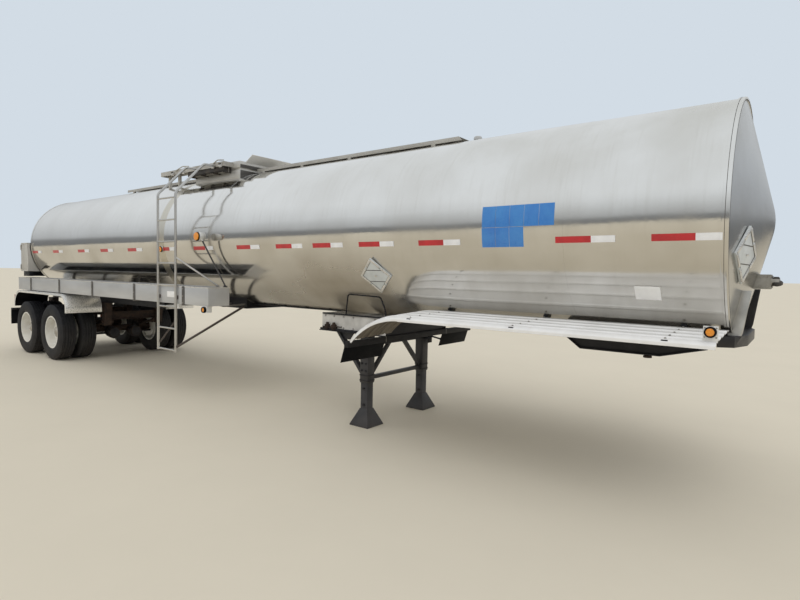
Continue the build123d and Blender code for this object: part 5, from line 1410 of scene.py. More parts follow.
@dataclass
class Fenders:
    """Rolled edges and bolts of the rear and front fenders."""

    yard: Yard
    rear_x: float = -6.196
    front_x: float = -3.636
    top_z: float = 1.232
    end_z: float = 0.900
    rear_radius: float = 0.320
    front_radius: float = 0.260
    outer_y: float = 1.217
    inner_y: float = 0.621
    deck: tuple = ((0.520, 1.350), (1.193, 1.318))
    arm_places: tuple[float, ...] = (5.924, 4.824, 3.824)

    def arch(self, y: float, inset: float) -> list[Point]:
        """Return the points along the rear fender's arch, inset from its skin."""
        points = [(self.rear_x + inset, y, self.end_z)]
        for centre_x, radius, start in (
            (self.rear_x + self.rear_radius, self.rear_radius, pi),
            (self.front_x - self.front_radius, self.front_radius, pi / 2),
        ):
            for step in range(13):
                turn = start - pi / 2 * step / 12
                reach = radius - inset
                points.append((centre_x + reach * cos(turn), y, self.top_z - radius + reach * sin(turn)))
        return points + [(self.front_x - inset, y, self.end_z)]

    def build(self) -> None:
        """Build the rolled edges and the bolts."""
        edges = [tube(self.arch(y, 0.003), 0.0042, 0.0, 8) for y in (self.outer_y, self.inner_y)]
        edges.append(tube(self.arch(self.outer_y, 0.038), 0.0035, 0.0, 8))
        self.yard.keep(mirrored(edges), "rear_fender_rolled_edges", POLISHED)
        # A near-black sheet lines the rear fenders' arches and a brownish one the front fenders' undersides;
        # both only darken the undersides.
        loop = self.arch(self.inner_y + 0.006, 0.0042) + self.arch(self.inner_y + 0.006, 0.0062)[::-1]
        width = self.outer_y - self.inner_y - 0.012
        self.yard.keep(mirrored([sheet_metal(loop, (0, width, 0), 0)]), "rear_fender_dark_underside", FLAP)
        linings = []
        for side in ("left", "right"):
            lining = self.yard.refined(f"front_fender_{side}", 0.0)
            with editing(lining, Pick.FACE, lambda face: face.normal.z > -0.35):
                bpy.ops.mesh.delete(type="FACE")
            linings.append(soften(modify(lining, "SOLIDIFY", thickness=0.002, offset=1.0), 0))
        self.yard.keep(linings, "front_fender_dark_underside", DARK_UNDERSIDE)
        top = [((x, y, self.top_z), UP) for x in (-3.95, -4.976, -5.83) for y in (0.66, 0.92, 1.17)]
        self.yard.keep(mirrored([bolts(top, 0.007)]), "rear_fender_bolts", ZINC)
        (near_y, near_z), (far_y, far_z) = self.deck
        places = []
        for x in self.arm_places:
            for y in (0.545, 0.713, 0.873, 1.033, 1.178):
                z = near_z + (far_z - near_z) * (y - near_y) / (far_y - near_y)
                places.append(((x, y, z), UP))
        self.yard.keep(mirrored([bolts(places, 0.0065)]), "front_fender_bolts", ZINC)
        y = self.outer_y - 0.0005
        hem = rod((3.70, y, 1.2775), (6.219, y, 1.2775), 0.0035, 8)
        self.yard.keep(mirrored([hem]), "front_fender_hem", WHITE_SHEET)


@dataclass
class TopGear:
    """What stands on the tank: grip buttons, valves in the dam, lid fittings and the vent cap."""

    yard: Yard
    top_z: float = 3.118
    walkway_z: float = 3.162
    walkways: tuple = ((3.670, 0.350), (-0.900, -3.480))
    platform_z: float = 3.234
    platform: tuple = ((0.105, -1.550), (-0.590, -0.462))
    lid_centre: Point = (-0.276, 0.0, 3.2363)
    stringer_z: float = 3.098
    button_pitch: float = 0.062
    button_rows: tuple[float, ...] = (-0.171, -0.109, -0.047, 0.015, 0.077, 0.139)

    def build(self) -> None:
        """Build the top's fittings."""
        self.platform_frame()
        self.buttons()
        self.valves()
        self.lid()
        self.vent_cap()

    def platform_frame(self) -> None:
        """Stand the platform on a shallow stringer, with a dark angle under its edge that is partly painted
        shade, and clamps on it.
        """
        deck = self.yard.refined("work_platform", 0.0)
        for vertex in deck.data.vertices:
            x, y, z = vertex.co
            if -0.83 < x < 0.085 and -0.497 < y < -0.489 and z < self.stringer_z:
                vertex.co.z = self.stringer_z
        soften(deck, 0.0012)
        self.yard.keep(deck, "work_platform_skin", GRIP, replaces=("work_platform",))
        # The dark angle and its brackets are partly a real support and partly painted shade: they stand in
        # for the platform's shadow on the dam wall.
        pieces = [
            block((-0.815, -0.586, 3.104), (0.100, -0.580, 3.170), 0.001),
            block((-0.815, -0.586, 3.104), (0.100, -0.548, 3.110), 0.001),
        ]
        for x in (-0.78, -0.48, -0.18, 0.07):
            pieces.append(bar((x, -0.580, 3.125), (x, -0.452, 3.125), 0.006, 0.080, 0.001))
        self.yard.keep(pieces, "platform_angle_and_shadow", DARK_CAST)
        clamps, heads = [], []
        for x in (-1.200, -0.905, -0.135, 0.045):
            clamps.append(block((x - 0.030, -0.614, 3.152), (x + 0.030, -0.599, 3.214), 0.003))
            clamps.append(block((x - 0.020, -0.628, 3.160), (x + 0.020, -0.612, 3.178), 0.003))
            heads += [((x + shift, -0.614, 3.200), RIGHT) for shift in (-0.016, 0.016)]
        self.yard.keep(clamps, "platform_clamps", TRIM)
        self.yard.keep(bolts(heads, 0.008), "platform_clamp_bolts", DARK_CAST)

    def buttons(self) -> None:
        """Press grip buttons up through the walkways and the platform."""
        profile = ((0.0, 0.0026), (0.006, 0.0026), (0.0085, 0.0016), (0.0105, 0.0), (0.0, -0.0005))
        button = turned(profile, (0, 0, 0), UP, 10)
        spots = []
        (front, rear), (low_y, _) = self.platform
        rows = [low_y + 0.02 + row * 0.044 for row in range(3)]
        decks = [(*span, self.walkway_z, self.button_rows, self.button_pitch / 2) for span in self.walkways]
        decks.append((front, rear, self.platform_z, rows, 0.0))
        for front, rear, z, rows, stagger in decks:
            for index in range(int((front - rear) / self.button_pitch)):
                x = front - 0.03 - index * self.button_pitch
                shift = stagger if index % 2 else 0.0
                spots += [(x, y + shift, z) for y in rows]
        pieces = copy_to(button, *(Matrix.Translation(spot) for spot in spots))
        discard(button)
        self.yard.keep(pieces, "grip_buttons", GRIP)

    def valves(self) -> None:
        """Stand the relief valve, the air inlet and the dam's drain inside the dam."""
        relief = (
            (0.0, 0.135), (0.030, 0.135), (0.052, 0.128), (0.056, 0.118), (0.056, 0.092), (0.040, 0.088),
            (0.040, 0.040), (0.044, 0.036), (0.075, 0.034), (0.075, 0.016), (0.044, 0.014), (0.044, -0.06),
            (0.0, -0.06),
        )
        inlet = (
            (0.0, 0.105), (0.034, 0.105), (0.040, 0.098), (0.040, 0.050), (0.046, 0.046), (0.046, 0.036),
            (0.030, 0.032), (0.030, -0.06), (0.0, -0.06),
        )
        pieces = []
        for profile, place in (
            (relief, (0.120, -0.19, 3.098)), (inlet, (0.130, 0.18, 3.101)), (inlet, (-0.705, 0.16, 3.104))
        ):
            pieces.append(turned(profile, place, UP, 36, bevel=0.0012))
        heads = []
        for index in range(6):
            turn = 2 * pi * index / 6
            heads.append(((0.120 + 0.064 * cos(turn), -0.19 + 0.064 * sin(turn), 3.132), UP))
        pieces.append(bolts(heads, 0.006))
        pieces.append(rod((0.150, 0.225, 3.160), (0.150, 0.290, 3.160), 0.006))
        drain = ((-0.705, -0.16, 3.090), (-0.705, -0.16, 3.185), (-0.705, -0.30, 3.185))
        pieces.append(tube(drain, 0.016, 0.03, 12))
        self.yard.keep(pieces, "dam_valves", SATIN)

    def lid(self) -> None:
        """Fit the lid's rim bead, its clamps' ears and its handle."""
        x, y, z = self.lid_centre
        rim = ((0.262, -0.002), (0.2775, -0.002), (0.280, 0.004), (0.276, 0.008), (0.262, 0.006))
        pieces = [turned(rim, (x, y, z), UP, 64, True)]
        for index in range(6):
            turn = radians(30 + 60 * index)
            reach = Vector((cos(turn), sin(turn), 0))
            foot = Vector((x, y, z)) + reach * 0.222
            pieces.append(bar(foot, foot + reach * 0.05 + Vector((0, 0, 0.004)), 0.030, 0.012, 0.002))
            knob = foot + reach * 0.03
            pieces.append(rod(knob, knob + Vector((0, 0, 0.030)), 0.009, 12))
            pieces.append(rod(knob + Vector((-0.022, 0, 0.026)), knob + Vector((0.022, 0, 0.026)), 0.007, 10))
        near, half, low, high = x + 0.10, 0.075, z + 0.016, z + 0.060
        arch = ((near, -half, low), (near, -half, high), (near, half, high), (near, half, low))
        pieces.append(tube(arch, 0.007, 0.02, 10))
        self.yard.keep(pieces, "lid_fittings", SATIN, Body.COVER)

    def vent_cap(self) -> None:
        """Stand the small capped vent ahead of the walkway."""
        profile = (
            (0.0, 0.070), (0.028, 0.070), (0.040, 0.064), (0.044, 0.052), (0.044, 0.030), (0.032, 0.028),
            (0.032, 0.010), (0.052, 0.008), (0.054, 0.0), (0.054, -0.006), (0.0, -0.006),
        )
        cap = turned(profile, (3.802, 0, self.top_z - 0.002), UP, 36)
        self.yard.keep([cap], "front_vent_cap", SATIN)


@dataclass
class Placards:
    """Rails, leaf joints and clips of the blank placard holders."""

    yard: Yard
    half_diagonal: float = 0.205
    rim_x: float = RIM_X
    tail_x: float = TAIL_X
    axis_z: float = TANK_Z
    side_x: float = 3.114
    side_turn: float = 30.2
    cone_turn: float = CONE_TURN
    cone_place: tuple[float, float] = (-0.590, 1.893)

    def build(self) -> None:
        """Build one holder's trim and copy it to each holder."""
        rails, dark = self.rails(), self.joints()
        down = radians(self.side_turn)
        spots = []
        for side in (1, -1):
            out = Vector((0, side * cos(down), -sin(down)))
            centre = Vector((self.side_x, 0, self.axis_z)) + out * 0.962
            spots.append(self.stand(centre, Vector(FORWARD), out))
        y, z = self.cone_place
        away = Vector((0, y, z - self.axis_z))
        tilt = radians(self.cone_turn)
        normal = Vector((cos(tilt), 0, 0)) + away.normalized() * sin(tilt)
        centre = Vector((self.rim_x + (HEAD_RADIUS - away.length) * tan(tilt), y, z)) + normal * 0.014
        across = Vector(LEFT) - normal * normal.y
        spots.append(self.stand(centre, across.normalized(), normal))
        rear = Vector((self.tail_x - 0.190, -0.560, 2.560))
        spots.append(self.stand(rear, Vector(RIGHT), Vector(BACKWARD)))
        self.yard.keep(copy_to(rails, *spots), "placard_rails", TRIM)
        self.yard.keep(copy_to(dark, *spots), "placard_joints", DARK_CAST)
        discard(rails, dark)

    def stand(self, centre: Vector, across: Vector, normal: Vector) -> Matrix:
        """Return the place of a holder's face from its centre, its level edge and its normal."""
        turn = Matrix((across, normal.cross(across), normal)).transposed().to_4x4()
        return Matrix.Translation(centre) @ turn

    def edges(self, reach: float, rise: float) -> list[tuple[Vector, Vector]]:
        """Return the ends of each edge of a square that stands on one corner."""
        corners = [Vector((reach * cos(turn), reach * sin(turn), rise)) for turn in (0, pi / 2, pi, -pi / 2)]
        return list(zip(corners, corners[1:] + corners[:1]))

    def rails(self) -> Piece:
        """Return the four raised rails and the corner clips of one holder."""
        pieces = []
        for start, end in self.edges(self.half_diagonal - 0.016, 0.003):
            for first, last in ((0.02, 0.46), (0.54, 0.98)):
                pieces.append(bar(start.lerp(end, first), start.lerp(end, last), 0.024, 0.008, 0.002))
        pieces.append(block((-0.010, -0.006, 0.0), (0.022, 0.010, 0.009), 0.002))
        return join(pieces)

    def joints(self) -> Piece:
        """Return the dark joints between one holder's leaves and round its plate."""
        reach, rise = self.half_diagonal - 0.034, 0.0006
        pieces = [bar(start, end, 0.004, 0.002, 0.0) for start, end in self.edges(reach, rise)]
        for y in (-0.066, 0.066):
            half = reach - abs(y)
            pieces.append(bar((-half, y, rise), (half, y, rise), 0.006, 0.003, 0.0))
        return join(pieces)


@dataclass
class Nose:
    """Air couplings, socket, and the nose's bolts."""

    yard: Yard
    box_x: float = 6.434
    box_z: float = 1.706

    def build(self) -> None:
        """Build the nose's fittings."""
        pieces = []
        near, lug_z = self.box_x + 0.012, self.box_z + 0.030
        for y in (-0.072, 0.072):
            head = (
                (0.0, 0.020), (0.012, 0.020), (0.018, 0.016), (0.026, 0.014), (0.034, 0.008), (0.036, -0.010),
                (0.028, -0.018), (0.0, -0.018),
            )
            place = (self.box_x + 0.036, y, self.box_z - 0.012)
            pieces.append(turned(head, place, (0, 0.35, -1), 28, bevel=0.001))
            pieces.append(bar((near, y, lug_z), (self.box_x + 0.050, y, lug_z), 0.022, 0.010, 0.002))
        socket = (
            (0.0, 0.030), (0.026, 0.030), (0.033, 0.027), (0.034, 0.0), (0.040, -0.002), (0.040, -0.008),
            (0.0, -0.008),
        )
        pieces.append(turned(socket, (self.box_x + 0.008, 0, self.box_z), FORWARD, 32, bevel=0.001))
        pieces.append(block((near, -0.030, lug_z), (self.box_x + 0.046, 0.030, lug_z + 0.010), 0.003))
        self.yard.keep(pieces, "air_couplings_and_socket", DARK_CAST)
        heads = [((self.box_x, y, z), FORWARD) for y in (-0.098, 0.098) for z in (1.664, 1.748)]
        for x in (6.370, 6.410):
            for y, normal in ((-0.110, RIGHT), (0.110, LEFT)):
                heads += [((x, y, z), normal) for z in (1.668, 1.744)]
        self.yard.keep(bolts(heads, 0.005), "coupling_box_bolts", ZINC)
        places = [((6.20, y, 1.305), UP) for y in (-0.50, -0.25, 0.0, 0.25, 0.50)]
        self.yard.keep(bolts(places, 0.010), "bolster_bolts", BLACK)


@dataclass
class Underside:
    """Landing gear fittings, gearbox cover, shelf valves, hook rod and the outlet's bolts and handle."""

    yard: Yard
    leg_x: float = 2.759
    leg_y: float = 0.530
    leg_half: float = 0.058
    frame_z: float = 1.040
    side_y: float = 0.600
    valve_y: float = -0.626
    outlet_x: float = -6.386
    outlet_z: float = 1.370
    bolt_circle: float = 0.0762

    def build(self) -> None:
        """Build the underside's fittings."""
        self.leg_fittings()
        self.gearbox()
        self.shelf_valves()
        self.hook_rod()
        self.outlet()

    def leg_fittings(self) -> None:
        """Flange and bolt the legs, pin the feet and bolt the frame's plates."""
        pieces, heads, side_heads = [], [], []
        for side in (1, -1):
            y = side * self.leg_y
            low_x, high_x = self.leg_x - self.leg_half, self.leg_x + self.leg_half
            for x0, x1 in ((low_x - 0.045, low_x), (high_x, high_x + 0.045)):
                for z in (self.frame_z - 0.150, self.frame_z - 0.020):
                    pieces.append(block(
                        (x0, y - self.leg_half, z), (x1, y + self.leg_half, z + 0.012), 0.002
                    ))
            reach = self.leg_half + 0.004
            for z in (0.500, 0.560):
                corner = (self.leg_x + reach, y + reach, z + 0.016)
                pieces.append(block((self.leg_x - reach, y - reach, z), corner, 0.003))
            pieces.append(rod((self.leg_x, y - 0.066, 0.235), (self.leg_x, y + 0.066, 0.235), 0.014))
            pieces.append(rod((self.leg_x, y - 0.070, 0.420), (self.leg_x, y + 0.070, 0.420), 0.011))
            for z in (0.62, 0.70, 0.78):
                for x in (-0.03, 0.03):
                    heads.append(((self.leg_x + x, y + side * self.leg_half, z), (0, side, 0)))
            for x in (2.16, 2.30, 2.45, 2.60, 2.92, 3.02):
                for z in (1.075, 1.205):
                    side_heads.append(((x, side * self.side_y, z), (0, side, 0)))
            near, far = sorted((side * self.side_y, side * (self.side_y + 0.012)))
            pieces.append(block((2.118, near, 1.222), (3.076, far, 1.240), 0.002))
            near, far = sorted((side * self.side_y, side * (self.side_y + 0.032)))
            ledge_z = self.frame_z - 0.004
            pieces.append(block((2.100, near, ledge_z), (2.700, far, ledge_z + 0.026), 0.003))
        # A thin dark plate across the frame ahead of the legs: partly a real cross plate, partly painted
        # shade under the fenders.
        pieces.append(block((3.052, -0.598, 1.020), (3.058, 0.598, 1.215), 0.001))
        self.yard.keep(bolts(side_heads, 0.0075), "side_plate_bolts", PALE_BOLTS)
        pieces.append(bolts(heads, 0.009))
        self.yard.keep(pieces, "landing_gear_fittings", BLACK)

    def gearbox(self) -> None:
        """Bolt the gearbox's cover and put the crank's grip on."""
        face = self.leg_y + self.leg_half + 0.085
        gear_z = self.frame_z - 0.130
        cover = face + 0.008
        low = (self.leg_x - 0.052, face - 0.002, gear_z - 0.070)
        pieces = [block(low, (self.leg_x + 0.052, cover, gear_z + 0.070), 0.004)]
        heads = []
        for x in (-0.042, 0.042):
            heads += [((self.leg_x + x, cover, gear_z + z), LEFT) for z in (-0.058, 0.0, 0.058)]
        pieces.append(bolts(heads, 0.007))
        boss = ((0.0, 0.022), (0.020, 0.022), (0.026, 0.016), (0.030, 0.0), (0.0, 0.0))
        pieces.append(turned(boss, (self.leg_x, cover, gear_z), LEFT, 24))
        grip = ((0.014, 0.0), (0.0185, 0.004), (0.019, 0.05), (0.017, 0.10), (0.014, 0.112))
        centre = (self.leg_x + 0.172, self.leg_y + self.leg_half + 0.128, gear_z - 0.029)
        pieces.append(turned(grip, centre, LEFT, 20, True))
        self.yard.keep(pieces, "gearbox_cover_and_grip", BLACK)

    def shelf_valves(self) -> None:
        """Stand two small valves and their pipes on the shelf behind the right leg."""
        pieces = []
        body = (
            (0.0, 0.092), (0.014, 0.092), (0.018, 0.088), (0.018, 0.070), (0.030, 0.066), (0.032, 0.060),
            (0.032, 0.028), (0.026, 0.022), (0.026, 0.0), (0.0, 0.0),
        )
        y, plate_y, shelf = self.valve_y, -self.side_y - 0.001, self.frame_z
        for x in (2.215, 2.320):
            pieces.append(turned(body, (x, y, shelf), UP, 24, bevel=0.001))
            pieces.append(rod((x, y, shelf + 0.045), (x, plate_y, shelf + 0.045), 0.010, 12))
        pieces.append(rod((2.150, y, shelf + 0.030), (2.365, y, shelf + 0.030), 0.013, 12))
        for start, end, z in ((2.320, 2.42, shelf + 0.045), (2.215, 2.13, shelf + 0.035)):
            line = ((start, y, z), (end, y, z), (end, plate_y - 0.003, z))
            pieces.append(tube(line, 0.006, 0.015))
        self.yard.keep(pieces, "shelf_valves", RUSTED)

    def hook_rod(self) -> None:
        """Bend the rod loop that stands on the right side plate."""
        y = -self.side_y + 0.004
        front, rear = (3.066, y, 1.238), (2.484, y, 1.238)
        top_y = y - 0.068
        loop = [
            rear, (2.488, y, 1.300), (2.574, top_y, 1.472), (3.050, top_y, 1.458), (3.066, y, 1.300), front
        ]
        self.yard.keep(tube(loop, 0.008, 0.035, 12), "bent_hook_rod", BLACK)

    def outlet(self) -> None:
        """Bolt the outlet's valve and fit its lever."""
        x, z = self.outlet_x, self.outlet_z
        places = []
        for index in range(4):
            turn = radians(45 + 90 * index)
            spot = (x + 0.024, self.bolt_circle * cos(turn), z + self.bolt_circle * sin(turn))
            places.append((spot, FORWARD))
        pieces = [bolts(places, 0.009)]
        lever_x = x + 0.060
        pieces.append(bar((lever_x, 0.0, z + 0.128), (lever_x, 0.20, z + 0.140), 0.030, 0.008, 0.002))
        self.yard.keep(pieces, "outlet_bolts_and_lever", ZINC)
        grip = rod((lever_x, 0.12, z + 0.135), (lever_x, 0.205, z + 0.140), 0.014, 16, 0.004)
        self.yard.keep(grip, "outlet_lever_grip", FLAP)


@dataclass
class Lamps:
    """Rubber rings round the lamps, their screws, and the bumper's tape."""

    yard: Yard
    fender_lamp_x: float = 6.183
    fender_lamp_z: float = 1.382
    cad_lamp_z: float = 1.396
    plate_foot_z: float = 1.315
    plate_share: tuple[float, float] = (0.73, 0.78)
    lens_share: float = 0.70
    jacket_reach: float = 0.951
    housing_reach: float = 1.023
    plate_y: float = 1.175
    tape_pitch: float = 0.178

    def stands(self) -> None:
        """Draw the fender lamps in to the size seen, and end the mast lamps' housings clear of the jacket."""
        plates = self.yard.refined("lamp_brackets", 0.001)
        for vertex in plates.data.vertices:
            x, y, z = vertex.co
            if x > 6.0:
                vertex.co.x = self.fender_lamp_x + (x - self.fender_lamp_x) * self.plate_share[0]
                vertex.co.z = self.plate_foot_z + (z - self.plate_foot_z) * self.plate_share[1]
            elif 0.2 < x < 0.36 and 2.08 < z < 2.21 and abs(y) < self.jacket_reach:
                vertex.co.y = self.housing_reach if y > 0 else -self.housing_reach
        self.yard.keep(plates, "lamp_brackets_skin", LAMP_STANDS, replaces=("lamp_brackets",))
        lenses = self.yard.refined("side_lamps", 0.003)
        for vertex in lenses.data.vertices:
            x, y, z = vertex.co
            if x > 6.0:
                vertex.co.x = self.fender_lamp_x + (x - self.fender_lamp_x) * self.lens_share
                vertex.co.z = self.fender_lamp_z + (z - self.cad_lamp_z) * self.lens_share
        self.yard.keep(lenses, "side_lamps_skin", AMBER, replaces=("side_lamps",))

    def ring(self, centre: Point, normal: Point, radius: float, width: float, depth: float) -> Piece:
        """Return a rounded rubber ring round a lens."""
        profile = (
            (radius - 0.003, 0.0), (radius + width, 0.0), (radius + width, depth * 0.6),
            (radius + width * 0.6, depth), (radius + 0.001, depth), (radius - 0.003, depth * 0.8),
        )
        return turned(profile, centre, normal, 36, True)

    def build(self) -> None:
        """Build the stands, the rings, the screws and the tape."""
        self.stands()
        rings = [
            self.ring((self.fender_lamp_x, self.plate_y, self.fender_lamp_z), LEFT, 0.027, 0.009, 0.028),
            self.ring((0.559, self.plate_y, 1.202), LEFT, 0.030, 0.010, 0.030),
            self.ring((0.294, 1.113, 2.147), LEFT, 0.052, 0.007, 0.016),
        ]
        outward = Vector((0, 0.98534, -0.17053))
        spot = Vector((-0.929, 0, TANK_Z)) + outward * 0.960
        rings.append(self.ring(spot, outward, 0.037, 0.006, 0.014))
        for y in (0.620, 0.750, 0.880):
            rings.append(self.ring((-6.447, y, 0.616), BACKWARD, 0.052, 0.008, 0.026))
        self.yard.keep(mirrored(rings), "lamp_rubber_rings", FLAP)
        screws = []
        for x in (6.150, 6.216):
            screws += [((x, self.plate_y, z), LEFT) for z in (1.348, 1.409)]
        self.yard.keep(mirrored([bolts(screws, 0.0035)]), "lamp_screws", ZINC)
        red, white = [], []
        for index in range(5):
            start = 0.06 + self.tape_pitch * index
            patch = block((-6.4875, start, 0.486), (-6.4855, start + self.tape_pitch - 0.002, 0.536), 0.0006)
            (white if index % 2 else red).append(patch)
        self.yard.keep(mirrored(red), "bumper_tape_red", TAPE_RED)
        self.yard.keep(mirrored(white), "bumper_tape_white", TAPE_WHITE)


@dataclass
class Cabinet:
    """Front closure, ribs, hinge leaves and handles of the rear cabinet."""

    yard: Yard
    half_width: float = 1.000
    low_z: float = 1.610
    high_z: float = 2.195
    rear_x: float = -6.440
    front_x: float = -6.086
    door_x: float = -6.468
    axis_z: float = TANK_Z
    head_clearance: float = 0.964
    flange: float = 0.018
    rib_places: tuple[float, ...] = (-6.395, -6.345, -6.295, -6.245, -6.195, -6.145)
    door_ribs: int = 6
    door_rib_y: float = 0.150
    door_rib_pitch: float = 0.138
    door_rib_width: float = 0.070
    hinge_heights: tuple[float, float] = (1.70, 2.105)

    def closure(self) -> Piece:
        """Return the plate that closes the cabinet's front up to the tank's round end."""
        low, high = self.low_z + 0.002, self.high_z - 0.002
        first, last = (asin((z - self.axis_z) / self.head_clearance) for z in (low, high))
        edge = self.half_width - 0.002
        points = [(self.front_x, edge, low), (self.front_x, edge, high)]
        for step in range(25):
            turn = last + (first - last) * step / 24
            reach = self.head_clearance
            points.append((self.front_x, reach * cos(turn), self.axis_z + reach * sin(turn)))
        return sheet_metal(points, (0.003, 0, 0), 0)

    def build(self) -> None:
        """Build the cabinet's trim."""
        self.yard.keep(mirrored([self.closure()]), "cabinet_front_closure", CABINET)
        ribs = []
        skin, edge = self.half_width - 0.001, self.half_width + 0.008
        low, high = self.low_z + 0.03, self.high_z - 0.03
        for x in self.rib_places:
            ribs.append(block((x - 0.012, skin, low), (x + 0.012, self.half_width + 0.006, high), 0.003))
        for z in (self.high_z - self.flange, self.low_z):
            ribs.append(block((self.rear_x, skin, z), (self.front_x, edge, z + self.flange), 0.002))
        self.yard.keep(mirrored(ribs), "cabinet_side_ribs", CABINET)
        inside, low, high = self.door_x + 0.001, self.low_z + 0.05, self.high_z - 0.05
        for side, body, name in ((1, Body.LEFT_DOOR, "left"), (-1, Body.RIGHT_DOOR, "right")):
            panels, fittings, screws = [], [], []
            for index in range(self.door_ribs):
                near = self.door_rib_y + index * self.door_rib_pitch
                far = near + self.door_rib_width
                panels.append(block(
                    (self.door_x - 0.005, side * near, low), (inside, side * far, high), 0.003
                ))
            self.yard.keep(panels, f"door_ribs_{name}", CABINET, body)
            face = self.door_x - 0.004
            for z in self.hinge_heights:
                leaf = (face, side * 0.86, z - 0.035), (inside, side * 0.975, z + 0.035)
                fittings.append(block(*leaf, 0.002))
            for y in (0.885, 0.925):
                for z in self.hinge_heights:
                    screws += [((face, side * y, z + shift), BACKWARD) for shift in (-0.018, 0.018)]
            fittings.append(bolts(screws, 0.004))
            y, out = side * 0.105, self.door_x - 0.016
            bow = [(self.door_x, y, 1.83), (out, y, 1.83), (out, y, 1.97), (self.door_x, y, 1.97)]
            fittings.append(tube(bow, 0.005, 0.006, 10))
            self.yard.keep(fittings, f"door_fittings_{name}", ZINC, body)


@dataclass
class PlainNodes:
    """CAD parts whose own shape is right: copied, softened and finished."""

    yard: Yard
    finishes: dict[str, tuple[Finish, float]] = field(
        default_factory=lambda: {
            "top_walkway": (GRIP, 0.0012), "spill_dam": (DAM_SHEET, 0.0012),
            "manhole_neck": (SATIN, 0.0015), "side_ladder": (SATIN, 0.0),
            "hose_tray_left": (TRAY_SHEET, 0.0012), "hose_tray_right": (TRAY_SHEET, 0.0012),
            "tray_brackets": (DARK_STRAP, 0.001), "rear_frame": (BLACK, 0.0015),
            "suspension_hangers": (RUSTED, 0.003), "axle_front": (RUSTED, 0.002),
            "axle_rear": (RUSTED, 0.002), "rear_fender_left": (POLISHED, 0.001),
            "rear_fender_right": (POLISHED, 0.001), "front_fender_left": (WHITE_SHEET, 0.001),
            "front_fender_right": (WHITE_SHEET, 0.001), "coupler_plate": (BLACK, 0.002),
            "coupler_frame": (BLACK, 0.0015), "kingpin": (RUSTED, 0.0), "nose_bolster": (NOSE_STEEL, 0.002),
            "coupling_box": (COUPLING, 0.0015), "landing_frame": (LEG_FRAME, 0.0015),
            "landing_legs": (LEG_PAINT, 0.004), "landing_feet": (LEG_PAINT, 0.002),
            "landing_braces": (LEG_PAINT, 0.002), "mud_flaps": (FLAP, 0.001), "rear_bumper": (BLACK, 0.003),
            "rear_cabinet": (CABINET, 0.0012), "cabinet_supports": (BLACK, 0.001),
            "rear_outlet": (SATIN, 0.0), "placard_holders": (PLACARD, 0.0012),
            "rear_lamps": (RED_LENS, 0.002), "air_reservoirs": (BLACK, 0.002),
            "belly_conduit": (BLACK, 0.0), "fender_arms": (BLACK, 0.001), "landing_gearbox": (BLACK, 0.002),
            "ladder_struts": (STRUTS, 0.001), "radius_rods": (RUSTED, 0.001),
            "dam_flap": (FLAP_PLATE, 0.0008),
        }
    )

    def build(self) -> None:
        """Copy, soften and finish each node that has no piece of its own yet."""
        for node, (finish, bevel) in self.finishes.items():
            if node not in self.yard.replaced:
                self.yard.keep(self.yard.refined(node, bevel), f"{node}_skin", finish, replaces=(node,))
        for node, finish in (
            ("manhole_lid", SATIN), ("cabinet_door_left", CABINET), ("cabinet_door_right", CABINET),
            ("wheels_front_left", WHEEL_PAINT), ("wheels_front_right", WHEEL_PAINT),
            ("wheels_rear_left", WHEEL_PAINT), ("wheels_rear_right", WHEEL_PAINT),
        ):
            self.yard.paint(node, finish)


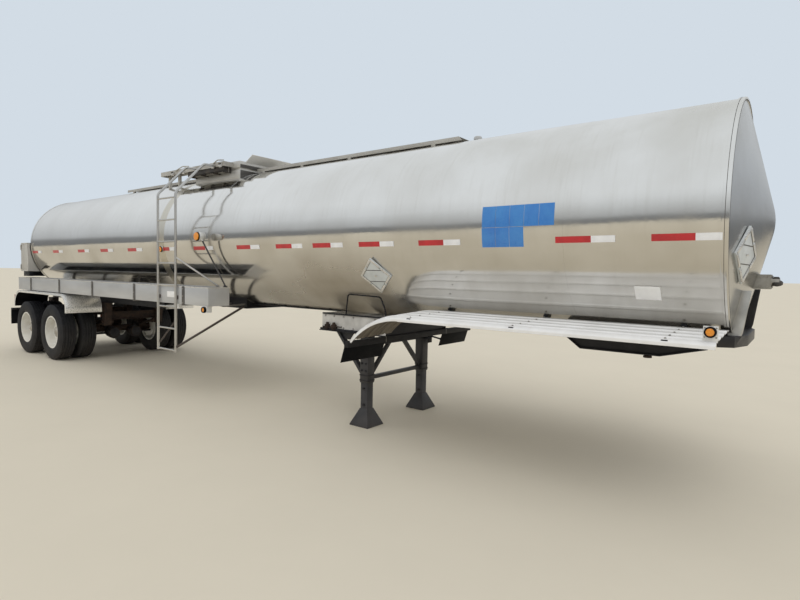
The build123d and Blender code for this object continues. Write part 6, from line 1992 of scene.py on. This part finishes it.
@dataclass
class Stage:
    """The plain pale floor, the soft light and the camera."""

    floor_size: float = 900.0
    floor_colour: Colour = (0.745, 0.69, 0.57)
    sky_colour: Colour = (0.645, 0.715, 0.785)
    cloud_colour: Colour = (0.705, 0.735, 0.755)
    haze: tuple = ((0.0, 0.27), (0.07, 0.31), (0.11, 0.62), (0.30, 0.86), (0.48, 1.0))
    lens: float = 23.94
    place: Point = (6.6593, -5.0429, 1.71654)
    heading: float = 127.4297
    pitch: float = -2.8752
    roll: float = 1.1176

    def build(self) -> None:
        """Build the floor, the light and the camera."""
        self.floor()
        self.light()
        self.camera()

    def floor(self) -> None:
        """Lay the plain pale floor."""
        bpy.ops.mesh.primitive_plane_add(size=self.floor_size, location=(0, 0, -0.0005))
        floor = settle(bpy.context.object)
        floor.name = "pale_floor"
        material = bpy.data.materials.new("pale_floor")
        material.use_nodes = True
        wiring = Wiring(material.node_tree)
        shader = material.node_tree.nodes["Principled BSDF"]
        shader.inputs["Roughness"].default_value = 0.9
        shader.inputs["Specular IOR Level"].default_value = 0.1
        place = wiring.add("ShaderNodeTexCoord").outputs["Object"]
        settings = {"Vector": place, "Scale": 0.7, "Detail": 9.0, "Roughness": 0.65}
        noise = wiring.add("ShaderNodeTexNoise", settings)
        darker = tuple(0.92 * part for part in self.floor_colour)
        mixed = wiring.mix(noise.outputs[0], self.floor_colour, darker)
        wiring.tree.links.new(mixed, shader.inputs["Base Color"])
        floor.data.materials.append(material)

    def light(self) -> None:
        """Light the trailer softly from the sky and a broad lamp."""
        world = bpy.data.worlds.new("soft_sky")
        bpy.context.scene.world = world
        world.use_nodes = True
        wiring = Wiring(world.node_tree)
        back = world.node_tree.nodes["Background"]
        back.inputs["Color"].default_value = (1.0, 1.0, 1.0, 1)
        back.inputs["Strength"].default_value = 0.78
        seen = wiring.add("ShaderNodeBackground", {"Color": (*self.sky_colour, 1), "Strength": 1.0})
        toward = wiring.add("ShaderNodeTexCoord").outputs["Generated"]
        height = wiring.add("ShaderNodeSeparateXYZ", {0: toward}).outputs[2]
        ramp = wiring.add("ShaderNodeValToRGB", {"Fac": height})
        points = ramp.color_ramp.elements
        while len(points) < len(self.haze):
            points.new(1.0)
        for point, (place, _) in zip(points, self.haze):
            point.position = place
        for point, (_, share) in zip(points, self.haze):
            point.color = (*(share * part for part in self.cloud_colour), 1)
        mirrored_sky = wiring.add("ShaderNodeBackground", {"Color": ramp.outputs[0], "Strength": 1.0})
        rays = wiring.add("ShaderNodeLightPath")
        from_camera = rays.outputs["Is Camera Ray"]
        shaders = {0: from_camera, 1: mirrored_sky.outputs[0], 2: seen.outputs[0]}
        seen = wiring.add("ShaderNodeMixShader", shaders)
        shown = wiring.math("MAXIMUM", from_camera, rays.outputs["Is Glossy Ray"])
        shown = wiring.math("MAXIMUM", shown, rays.outputs["Is Transmission Ray"])
        both = wiring.add("ShaderNodeMixShader", {0: shown, 1: back.outputs[0], 2: seen.outputs[0]})
        out = world.node_tree.nodes["World Output"]
        wiring.tree.links.new(both.outputs[0], out.inputs["Surface"])
        bpy.ops.object.light_add(type="SUN", location=(0, 0, 12), rotation=(radians(34), radians(22), 0))
        sun = bpy.context.object
        sun.name = "broad_lamp"
        sun.data.energy = 0.6
        sun.data.angle = radians(50)
        sun.visible_glossy = False

    def camera(self) -> None:
        """Stand the camera where the photograph was taken."""
        yaw, pitch, roll = (radians(angle) for angle in (self.heading, self.pitch, self.roll))
        ahead = Vector((cos(pitch) * cos(yaw), cos(pitch) * sin(yaw), sin(pitch)))
        right = Vector((sin(yaw), -cos(yaw), 0))
        up = right.cross(ahead)
        right, up = cos(roll) * right + sin(roll) * up, cos(roll) * up - sin(roll) * right
        turn = Matrix((right, up, -ahead)).transposed().to_4x4()
        bpy.ops.object.camera_add()
        camera = bpy.context.object
        camera.name = "photograph_camera"
        camera.data.sensor_width = 36.0
        camera.data.sensor_fit = "HORIZONTAL"
        camera.data.lens = self.lens
        camera.data.clip_end = 2000.0
        camera.matrix_world = Matrix.Translation(self.place) @ turn
        bpy.context.scene.camera = camera


def main() -> None:
    """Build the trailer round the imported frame."""
    logging.basicConfig(level=logging.INFO, format="%(message)s")
    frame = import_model()
    bpy.context.scene.view_settings.view_transform = "Standard"
    yard = Yard(frame)
    Stage().build()
    assemblies = (
        Tank(yard), Tyres(yard), Suspension(yard), WheelTrim(yard), Trays(yard), Fenders(yard), TopGear(yard),
        Placards(yard), Nose(yard), Underside(yard), Lamps(yard), Cabinet(yard), PlainNodes(yard),
    )
    for assembly in assemblies:
        log.info("building %s", type(assembly).__name__)
        assembly.build()


if __name__ == "__main__":
    main()
